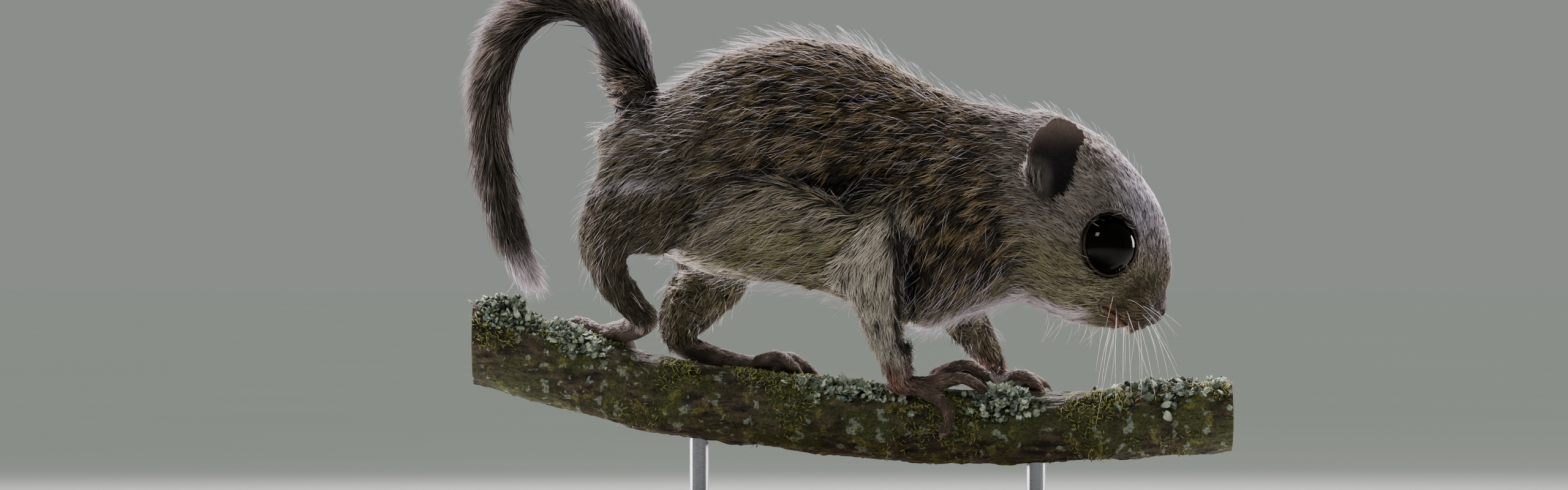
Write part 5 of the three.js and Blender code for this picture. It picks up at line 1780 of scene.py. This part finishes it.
@dataclass
class Coat:
    """All the fur, grown from the skin."""

    CLUMPS = {
        Zone.BODY: 1.9, Zone.HEAD: 1.1, Zone.LEGS: 1.4,
        Zone.PAWS: 0.8, Zone.TAIL: 2.2, Zone.EARS: 1.0,
    }
    LEAN = {
        Zone.BODY: 0.8, Zone.HEAD: 0.45, Zone.LEGS: 0.45,
        Zone.PAWS: 0.45, Zone.TAIL: 0.25, Zone.EARS: 0.45,
    }
    CELL_CODE = (1, 1009, 1018081)
    skin: Skin
    seed: int = 12
    most_faces: int = 190_000

    def _bare(self, points: Array, normals: Array, zone: Array) -> Array:
        """Where hair is left out: eyes, nose pad, mouth, soles, and the cups of the ears."""
        keep = np.ones(len(points))
        for side in Side:
            across, far = HEAD.eye_share(points, side)
            keep *= np.where((across < 1.03) & (far < 8), 0, 1)
        nose = np.linalg.norm(points - HEAD.nose_bare, axis=1)
        keep *= smoothstep(2.0, 2.7, nose)
        keep *= 1 - 0.75 * heel_share(points)
        lips = 0.4 + 0.5 * smoothstep(41.5, 43.5, points[:, 0])
        keep *= np.where(HEAD.mouth_distance(points) < lips, 0, 1)
        over = points[:, 2] - PERCH.height(points[:, 0])
        reach = np.hypot(points[:, 1], over)
        from_branch = np.stack([0 * reach, points[:, 1], over], 1)
        facing = np.sum(unit(from_branch) * normals, axis=1)
        paws = zone == Zone.PAWS.number
        keep *= np.where(paws & ((facing < 0.1) | (reach < PERCH.radius + 0.8)), 0, 1)
        for side in Side:
            cup = Ear(side).axes()[2]
            inside = (zone == Zone.EARS.number) & (points[:, 1] * side.value > 0) & (normals @ cup > 0)
            keep *= np.where(inside, np.maximum(0.12, ear_fringe(points, 33.2)), 1)
        return keep

    def grow(self, markings: Markings, grooming: Grooming) -> tuple[Tufts, Array]:
        """Scatters roots over the skin, as many as each part's density asks.

        Returns:
            The tufts, and the zone of each.
        """
        form = self.skin.form
        random = np.random.default_rng(self.seed)
        middle, across = form.across()
        area = np.linalg.norm(across, axis=1) / 2
        at_faces = grooming.read(middle, unit(across))
        wanted = area * at_faces["density"] * self._bare(middle, unit(across), at_faces["zone"])
        total = np.cumsum(wanted)
        count = int(total[-1])
        picks = np.searchsorted(total, (np.arange(count) + random.random(count)) / count * total[-1])
        picks = np.minimum(picks, len(area) - 1)
        a, b = random.random(count), random.random(count)
        flip = a + b > 1
        a, b = np.where(flip, 1 - a, a), np.where(flip, 1 - b, b)
        weights = np.stack([1 - a - b, a, b], axis=1)
        faces = form.faces[picks]
        roots = np.einsum("ij,ijk->ik", weights, form.points[faces])
        normals = unit(np.einsum("ij,ijk->ik", weights, form.normals()[faces]))
        read = grooming.read(roots, normals)
        patch = np.einsum("ij,ijk->ik", weights, self._corner_places(picks))
        lot = random.random(count)
        tufts = Tufts(
            roots, normals, read["lie"], read["length"], read["width"], read["lift"],
            markings.colour(roots, normals, read["zone"]), lot, patch,
        )
        self._style(tufts, read["zone"], random)
        return tufts, read["zone"]

    def _corner_places(self, picks: Array) -> Array:
        """The unwrap's places of the three corners of each picked face."""
        mesh = bpy.data.objects["skin"].data
        places = np.empty(2 * len(mesh.loops), np.float32)
        mesh.uv_layers[0].uv.foreach_get("vector", places)
        return places.reshape(-1, 3, 2)[picks].astype(float)

    def _style(self, tufts: Tufts, zone: Array, random: np.random.Generator) -> None:
        """Breaks the coat into clumps: neighbours share a turn, a length and a point they lean to."""
        scale, lean = (
            np.array([table[kind] for kind in Zone])[zone][:, None] for table in (self.CLUMPS, self.LEAN)
        )
        warped = tufts.roots + 1.2 * three_noises(tufts.roots, 1.7, 21)
        cell = np.floor(warped / scale * [0.6, 1, 1]).astype(np.int64)
        _, clump = np.unique(cell @ self.CELL_CODE, return_inverse=True)
        members = np.bincount(clump)
        heart = np.stack([np.bincount(clump, tufts.roots[:, k]) / members for k in range(3)], 1)
        pull = tangential(heart[clump] - tufts.roots, tufts.normals) / tufts.length[:, None]
        drift = three_noises(tufts.roots, 7, 31) - 0.5
        spread = random.normal(0, 0.1, (len(zone), 3))
        tail = zone == Zone.TAIL.number
        lie = tufts.lie + lean * pull + 0.5 * drift + spread * np.where(tail, 0.8, 1.0)[:, None]
        tufts.lie = unit(tangential(lie, tufts.normals))
        clump_lot = np.random.default_rng(self.seed + 1).random(len(members))[clump]
        tufts.length = tufts.length * (0.72 + 0.28 * clump_lot + 0.3 * random.random(len(zone)))
        sideways = 0.85 + 0.3 * tufts.normals[:, 1] ** 2
        tufts.lift = tufts.lift * np.where(tail, sideways, 0.75 + 0.5 * clump_lot)
        tufts.lift = tufts.lift * (0.7 + 0.6 * random.random(len(zone)))
        tufts.lot = np.clip(0.45 * clump_lot + 0.55 * tufts.lot, 0, 1)
        beside = np.maximum(arm_gap(tufts.roots), 0.8 * arm_gap(tufts.roots - [2.6, 0, 0]))
        pocket = np.exp(-(((tufts.roots[:, [0, 2]] - [1.5, 62.6]) / [5.6, 1.8]) ** 2).sum(1))
        tufts.length = tufts.length * (1 - 0.55 * np.maximum(beside, pocket))
        tufts.lie = unit(tangential(tufts.lie - beside[:, None] * [0, 0, 1.5], tufts.normals))
        throat = smoothstep(-0.3, -0.7, tufts.normals[:, 2]) * smoothstep(12, 18, tufts.roots[:, 0])
        tufts.length = tufts.length * (1 + 0.35 * throat * smoothstep(44, 40, tufts.roots[:, 0]))
        for side in Side:
            across, far = HEAD.eye_share(tufts.roots, side)
            close = smoothstep(1.6, 1.1, across) * (far < 8.5)
            tufts.length = tufts.length * (1 - 0.35 * close)
            tufts.lift = tufts.lift * (1 - 0.3 * close)
            away = unit(tufts.roots - HEAD.eye_place(side)[0])
            turned = tufts.lie + (0.45 * close)[:, None] * away
            tufts.lie = unit(tangential(turned, tufts.normals))

    def build(self, markings: Markings, grooming: Grooming) -> None:
        """Makes the pieces of coat, each with no more than most_faces faces."""
        tufts, zone = self.grow(markings, grooming)
        for kind in Zone:
            chosen = np.flatnonzero(zone == kind.number)
            name = f"coat_{kind.name.lower()}"
            stations, curl, tip = (3, 0.45, 1.6) if kind is Zone.TAIL else (2, 0.62, 2.1)
            maker = TuftMaker(stations, curl)
            pieces = math.ceil(len(chosen) * maker.faces_each() / self.most_faces)
            material = CoatFinish(name, tip=tip).make()
            for number in range(pieces):
                part = tufts.part(chosen[number::pieces])
                ready(maker.build(f"{name}_{number + 1}", part), material)


@dataclass
class GuardHairs:
    """Sparse long hairs that stand off the back, neck and haunches and catch the light."""

    COLOUR = shade("a79ea4")
    PATCHES = 9973
    skin: Skin
    count: int = 5700
    width: float = 0.06
    seed: int = 31

    def build(self, grooming: Grooming) -> None:
        """Scatters long thin tufts over the trunk and head, fewer and shorter towards the face."""
        form = self.skin.form
        random = np.random.default_rng(self.seed)
        middle, across = form.across()
        area = np.linalg.norm(across, axis=1)
        normals = unit(across)
        read = grooming.read(middle, normals)
        hairy = np.isin(read["zone"], [kind.number for kind in (Zone.BODY, Zone.HEAD, Zone.LEGS)])
        chance = area * hairy * smoothstep(1.6, 3.0, read["length"])
        above = 0.35 + 0.65 * np.maximum(normals[:, 2], 0)
        throat = 1.6 * smoothstep(-0.2, -0.6, normals[:, 2]) * smoothstep(12, 16, middle[:, 0])
        chance *= np.where((middle[:, 0] > 33) & (middle[:, 2] < 64), 0, above) + throat
        picks = random.choice(len(area), self.count, p=chance / chance.sum())
        lot = random.random(self.count)
        sway = random.normal(0, 0.22, (self.count, 3))
        lie = unit(tangential(read["lie"][picks] + sway, normals[picks]))
        shares = (picks % self.PATCHES) / self.PATCHES
        hairs = Tufts(
            middle[picks], normals[picks], lie,
            read["length"][picks] * (1.2 + 0.6 * lot), np.full(self.count, self.width),
            0.5 + 0.6 * random.random(self.count), np.tile(self.COLOUR, (self.count, 1)), lot,
            np.stack([shares, (shares * 61.7) % 1], 1),
        )
        piece = TuftMaker(3, 0.42).build("guard_hairs", hairs)
        ready(piece, CoatFinish("guard_hair", 0.5, 1.9, 0.4).make())


@dataclass
class Eye:
    """An eyeball set in its socket, and the bare rims of its lids."""

    side: Side
    rim: float = 0.3
    rim_height: float = 0.12
    rim_stations: int = 96
    rim_sides: int = 14

    def build(self) -> None:
        """Makes the ball, a sphere, and the lids as a ring on it."""
        centre, look, level, steep = HEAD.eye_place(self.side)
        name = self.side.name.lower()
        radius = HEAD.eye_radius
        eye = write_mesh(f"eyeball_{name}", ball(centre, [radius] * 3, sides=56))
        ready(eye, EyeFinish(f"eye_black_{name}").make())
        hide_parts(f"eye_{name}")
        turn = turns(self.rim_stations)
        a, b = HEAD.opening[0] * np.cos(turn), HEAD.opening[1] * np.sin(turn)
        high = np.sqrt(np.maximum(0, (radius + self.rim_height) ** 2 - a**2 - b**2))
        line = centre + level * a[:, None] + steep * b[:, None] + look * high[:, None]
        out = unit(line - centre)
        along = unit(np.roll(line, -1, 0) - np.roll(line, 1, 0))
        across = np.cross(out, along)
        turn_on = turns(self.rim_sides)[None, :, None]
        thick = self.rim * (1 + 0.12 * np.sin(3 * turn + 1))[:, None, None]
        rings = line[:, None] + thick * (
            0.7 * out[:, None] * np.cos(turn_on) + across[:, None] * np.sin(turn_on)
        )
        lids = write_mesh(f"lids_{name}", looped(rings))
        paint(lids, "coat", np.tile([*Markings.RING, 1.0], (len(lids.data.vertices), 1)))
        ready(lids, SkinFinish(f"lid_skin_{name}").make())


def looped(rings: Array) -> Form:
    """A closed ring-shaped skin through rings of points that come back to the first."""
    count, sides, _ = rings.shape
    i, j = grid(np.arange(count), np.arange(sides))
    start, following = i * sides, ((i + 1) % count) * sides
    beside = (j + 1) % sides
    a, b, c, d = start + j, start + beside, following + beside, following + j
    halves = [np.stack(corners, -1).reshape(-1, 3) for corners in ([a, b, c], [a, c, d])]
    return Form(rings.reshape(-1, 3), np.concatenate(halves)).outward()


@dataclass
class Claws:
    """The claws of all four paws."""

    def build(self) -> None:
        """Joins the claws of every toe into one piece."""
        piece = write_mesh("claws", joined([claw for paw in PAWS for claw in paw.claws()]))
        ready(piece, HornFinish().make())


@dataclass
class Whiskers:
    """The whiskers of the muzzle, brow and chin, each a thin curved tapered hair."""

    seed: int = 5
    thickness: float = 0.05

    def _hairs(self, roots: Array, ways: Array, lengths: Array, droop: Array) -> tuple[Form, Array]:
        """Bends each hair down as a quarter of a parabola along its length."""
        s = np.linspace(0, 1, 12)
        forms = []
        for root, way, length, fall in zip(roots, ways, lengths, droop):
            line = root + length * (np.outer(s, way) + np.outer(s**2, fall))
            thick = self.thickness * np.interp(s, [0, 0.3, 1], [1, 0.8, 0.15])
            forms.append(tube(line, thick, thick, 14, 4, 0, 0.004))
        grown = [
            np.linalg.norm(form.points - root, axis=1) / length
            for form, root, length in zip(forms, roots, lengths)
        ]
        return joined(forms), np.concatenate(grown)

    def build(self) -> None:
        """Places the whiskers in rows on the pads, and fewer over the eye and on the chin."""
        random = np.random.default_rng(self.seed)
        roots, ways, lengths, falls = [], [], [], []
        for side in Side:
            s = side.value
            for row in range(4):
                for place in range(4):
                    x, z = 48.4 - 1.6 * place + 0.3 * row, 43.4 - 0.9 * row + 0.4 * place
                    roots.append([x, s * (2.6 + 0.7 * place), z])
                    way = [0.9 - 0.3 * place - 0.1 * row, s * (0.75 + 0.1 * place), -0.1 - 0.3 * row]
                    ways.append(way)
                    lengths.append(7 + 2.2 * place + 4 * random.random())
                    falls.append([0.1 - 0.3 * random.random(), 0, -0.5 + 0.2 * random.random()])
            for place in range(3):
                roots.append([44.9 + 0.5 * place, s * (4.0 - 0.3 * place), 59.4 - 0.7 * place])
                ways.append([0.6, s * 0.6, 0.6])
                lengths.append(4 + 3 * random.random())
                falls.append([-0.3, 0, -0.25])
            for place in range(9):
                x, z = 43.5 - 1.3 * place, 39.6 + 0.35 * place
                roots.append([x, s * (0.9 + 1.2 * random.random()), z])
                ways.append([0.3 - 0.6 * random.random(), s * 0.4, -0.8])
                lengths.append(2.5 + 4 * random.random())
                falls.append([-0.35 + 0.2 * random.random(), 0, 0.05])
        values = [np.array(rows, float) for rows in (roots, ways, lengths, falls)]
        values[1] = unit(values[1] + random.normal(0, 0.09, values[1].shape))
        form, growth = self._hairs(*values)
        piece = write_mesh("whiskers", form)
        paint(piece, "growth", np.c_[growth, growth, growth, np.ones(len(growth))])
        ready(piece, WhiskerFinish().make())


@dataclass(frozen=True)
class LichenPatch:
    """A patch of leafy lichen: place along the branch, angle from its top, spread and lobes."""

    x: float
    angle: float
    length: float
    arc: float
    lobes: int
    rise: float


@dataclass
class Branch:
    """The cut length of branch, with its bark, moss and lichen."""

    MOSS_DARK = np.array(shade("3c4220"))
    MOSS_PALE = np.array(shade("66682e"))
    BUNCHING = 0.24
    LOBE_THICKNESS = 0.18
    stations: int = 330
    sides: int = 112
    seed: int = 9
    patches: tuple = (
        LichenPatch(-56.5, -10, 14, 110, 380, 5.0),
        LichenPatch(-46, -32, 13, 76, 230, 4.0),
        LichenPatch(-1, -36, 24, 50, 190, 2.0),
        LichenPatch(25.5, -44, 10, 60, 190, 4.0),
        LichenPatch(52, -20, 24, 90, 90, 1.5),
        LichenPatch(10, 110, 60, 70, 90, 1.5),
    )

    def _bark(self) -> Form:
        """The branch's ellipse carried along its middle line, roughened by long flakes."""
        x = np.linspace(PERCH.axis[0][0], PERCH.axis[-1][0], self.stations)
        turn = turns(self.sides)
        u, v = grid(x, turn)
        plain = np.stack([u * 0.3, np.sin(v) * PERCH.radius, np.cos(v) * PERCH.radius], -1)
        plain = plain.reshape(-1, 3)
        ridges = 1 - np.abs(2 * noise(plain, 1.7, 41) - 1) ** 0.7
        lumps = noise(plain * [2, 1, 1], 2.6, 43)
        fine = noise(plain * [3, 1, 1], 0.55, 42)
        height = (0.5 * (ridges - 0.6) + 0.7 * (lumps - 0.6) + 0.3 * (fine - 0.5)).reshape(u.shape)
        on_top = smoothstep(0.4, 0.8, np.cos(v)) * smoothstep(-46, -42, u) * smoothstep(35, 31, u)
        height = np.minimum(height, 0.25) * (1 - 0.5 * on_top)
        reach = PERCH.radius * (1 + PERCH.swell(u, v)) + height
        return over_rings(np.stack([u, reach * np.sin(v), PERCH.height(u) + reach * np.cos(v)], -1))

    def _lobe(self, root: Array, out: Array, lie: Array, size: float, wave: float) -> Form:
        """A thin leaf that rises, rounds off in a scalloped rim and curls over in waves."""
        side = unit(np.cross(out, lie))
        s = np.linspace(0, 1, 4)[:, None]
        a = np.linspace(-1, 1, 6)[None, :]
        half = size * 0.52 * np.sqrt(s + 0.06) * (1 - 0.3 * s**4)
        rim = s * (1 - 0.35 * a * a + 0.13 * np.cos(7 * a + wave))
        rise = size * (0.9 * rim - 0.45 * rim**2 + 0.2 * np.sin(5 * a + wave) * s**1.5)
        run = size * (0.8 * rim + 0.12 * np.cos(6 * a + 2 * wave) * s)
        front = root + out * rise[..., None] + lie * run[..., None] + side * (half * a)[..., None]
        back = front - out * self.LOBE_THICKNESS
        return over_rings(np.concatenate([front, back[:, ::-1]], axis=1))

    def _lichen(self, random: np.random.Generator) -> tuple[Form, Array]:
        """The lobes of every patch, overlapping like scales."""
        forms, colours = [], []
        tones = np.array([shade("69756a"), shade("87937f"), shade("566150"), shade("9ba48f")])
        for patch in self.patches:
            for _ in range(patch.lobes):
                bunch = random.normal(0, self.BUNCHING, 2)
                x = np.clip(patch.x + bunch[0] * patch.length, -62, 63)
                angle = patch.angle + bunch[1] * patch.arc
                centred = math.exp(-2.2 * float(bunch @ bunch) / self.BUNCHING**2 / 4)
                root = PERCH.point(x, angle, -0.3 + 0.7 * patch.rise * centred * random.random())
                out = unit(PERCH.point(x, angle, 4) - root)
                heading = 2 * np.pi * random.random()
                level = np.array([0, out[2], -out[1]])
                lie = np.array([np.cos(heading), 0, 0]) + level * np.sin(heading)
                steep = unit(out + 1.2 * (random.random() - 0.5) * lie)
                size = 0.9 + 0.9 * random.random()
                form = self._lobe(root, steep, lie, size, 6 * random.random())
                forms.append(form)
                tone = tones[int(random.integers(len(tones)))]
                height = (form.points - root) @ steep / size
                light = 0.5 + 1.2 * np.clip(height, 0, 0.7)
                lot = np.full(len(form.points), random.random())
                colours.append(np.c_[tone * light[:, None], lot])
        return joined(forms), np.concatenate(colours)

    def _moss(self, random: np.random.Generator, count: int = 6000) -> Tufts:
        """Short green tufts on the upper side of the bark, where slow noise says."""
        x = random.uniform(-62, 63, 4 * count)
        angle = random.normal(-20, 60, 4 * count)
        places = PERCH.point(x, angle, 0.0)
        by_hands = (x > 5) & (x < 32) & (angle > -60)
        cover = noise(places, 6, 51) - 0.1 * (np.abs(angle) > 80) - 0.25 * by_hands
        chosen = np.flatnonzero(cover > 0.55)[:count]
        x, angle = x[chosen], angle[chosen]
        reach = PERCH.radius * PERCH.swell(x, np.radians(angle)) - 0.15
        roots = PERCH.point(x, angle, reach)
        normals = unit(PERCH.point(x, angle, 4) - PERCH.point(x, angle, 0))
        lie = unit(tangential(random.normal(0, 1, (len(x), 3)), normals))
        lot = random.random(len(x))
        green = self.MOSS_DARK + (self.MOSS_PALE - self.MOSS_DARK) * lot[:, None]
        around = (x + 63) / 127
        patch = np.stack([around, (angle % 360) / 360], 1)
        ones = np.ones(len(x))
        length = 0.6 + 0.9 * lot
        return Tufts(roots, normals, lie, length, 0.22 * ones, 1.2 * ones, green, lot, patch)

    def build(self) -> None:
        """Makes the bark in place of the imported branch, then what grows on it."""
        random = np.random.default_rng(self.seed)
        bark = write_mesh("bark", self._bark())
        ready(bark, BarkFinish().make())
        lichen, colours = self._lichen(random)
        leaves = write_mesh("lichen", lichen)
        paint(leaves, "coat", colours)
        ready(leaves, LichenFinish().make())
        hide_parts("perch_branch")
        moss = TuftMaker(2, 0.5).build("moss", self._moss(random))
        ready(moss, CoatFinish("moss_green", 0.3, 1.3, 0.8).make())


@dataclass
class Stand:
    """The display stand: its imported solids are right, and get their finishes."""

    def dress(self) -> None:
        """Puts wood on the base and steel on the rods."""
        wood, steel = WoodFinish().make(), SteelFinish().make()
        for name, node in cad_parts.items():
            if name.startswith("stand_"):
                node.data.materials.clear()
                node.data.materials.append(wood if name == "stand_base" else steel)
                LOG.info("%s: dressed", name)


@dataclass
class Studio:
    """Pale floor, soft lights and a long lens level with the animal, as in the photograph."""

    middle: tuple = (-10.9, 53.3)
    view_height: float = 81.5
    distance: float = 1.0
    sensor: float = 36.0
    picture: tuple = (2560, 800)
    floor_size: float = 6000.0
    sky: tuple = (0.63, 0.68, 0.64, 1)
    sky_strength: float = 0.42
    sun: tuple = (0.15, 0.75, 1.0)
    spread: float = math.radians(50)

    def _hang(self, name: str, kind: str, power: float) -> Piece:
        """A lamp of a kind, linked to the scene."""
        lamp = bpy.data.lights.new(name, kind)
        lamp.energy = power
        holder = bpy.data.objects.new(name, lamp)
        bpy.context.scene.collection.objects.link(holder)
        return holder

    def _lamp(
        self, name: str, place: tuple, target: tuple, size: float, power: float, tint: tuple
    ) -> None:
        """A square area light that faces a target, both in metres."""
        holder = self._hang(name, "AREA", power)
        holder.data.size = size
        holder.data.spread = self.spread
        holder.data.color = tint
        holder.location = place
        x, y, z = np.array(target, float) - place
        steep = math.atan2(math.hypot(x, y), -z)
        holder.rotation_euler = (steep, 0, math.atan2(y, x) - math.pi / 2)

    def _sun(self, strength: float, degrees: float) -> None:
        """A soft distant lamp from behind, so the floor is lit evenly."""
        holder = self._hang("sky_lamp", "SUN", strength)
        holder.data.angle = math.radians(degrees)
        x, y, z = self.sun
        holder.rotation_euler = (-math.atan2(math.hypot(x, y), z), 0, math.atan2(-x, y))

    def build(self) -> None:
        """Sets up floor, sky light, lamps and camera."""
        corners = np.array([[-1, -1, 0], [1, -1, 0], [1, 1, 0], [-1, 1, 0]]) * self.floor_size
        floor = write_mesh("floor", Form(corners, np.array([[0, 1, 2], [0, 2, 3]])), smooth=False)
        floor.data.materials.append(FloorFinish().make())
        world = bpy.data.worlds.new("studio")
        world.use_nodes = True
        background = world.node_tree.nodes["Background"]
        background.inputs["Color"].default_value = self.sky
        background.inputs["Strength"].default_value = self.sky_strength
        bpy.context.scene.world = world
        self._lamp("key", (-0.42, -0.5, 0.62), (0, 0, 0.055), 0.2, 0.27, (1.0, 0.98, 0.95))
        self._lamp("rim_top", (-0.05, 0.42, 0.6), (0, 0, 0.08), 0.35, 3.0, (1.0, 0.9, 0.98))
        self._lamp("rim_rear", (-0.68, 0.36, 0.14), (-0.02, 0, 0.06), 0.3, 1.7, (1.0, 0.9, 1.0))
        self._lamp("rim_front", (0.68, 0.4, 0.16), (0.02, 0, 0.05), 0.3, 1.2, (1.0, 0.93, 0.98))
        self._sun(0.6, 25)
        self._camera()

    def _camera(self) -> None:
        """A level camera at the animal's height, its lens set by the view's width."""
        wide = self.view_height * self.picture[0] / self.picture[1] * MM
        lens = bpy.data.cameras.new("camera")
        lens.sensor_width = self.sensor
        lens.lens = self.sensor * self.distance / wide
        lens.clip_start = 0.01
        lens.clip_end = 50
        camera = bpy.data.objects.new("camera", lens)
        bpy.context.scene.collection.objects.link(camera)
        camera.location = (self.middle[0] * MM, -self.distance, self.middle[1] * MM)
        camera.rotation_euler = (math.pi / 2, 0, 0)
        bpy.context.scene.camera = camera


def main() -> None:
    """Builds the model in order and reports each piece."""
    logging.basicConfig(level=logging.INFO, format="%(message)s")
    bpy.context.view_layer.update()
    grooming = Grooming()
    markings = Markings()
    skin = Skin()
    skin.build(markings, grooming)
    Coat(skin).build(markings, grooming)
    GuardHairs(skin).build(grooming)
    for side in Side:
        Eye(side).build()
    Claws().build()
    Whiskers().build()
    Branch().build()
    Stand().dress()
    Studio().build()


if __name__ == "__main__":
    main()
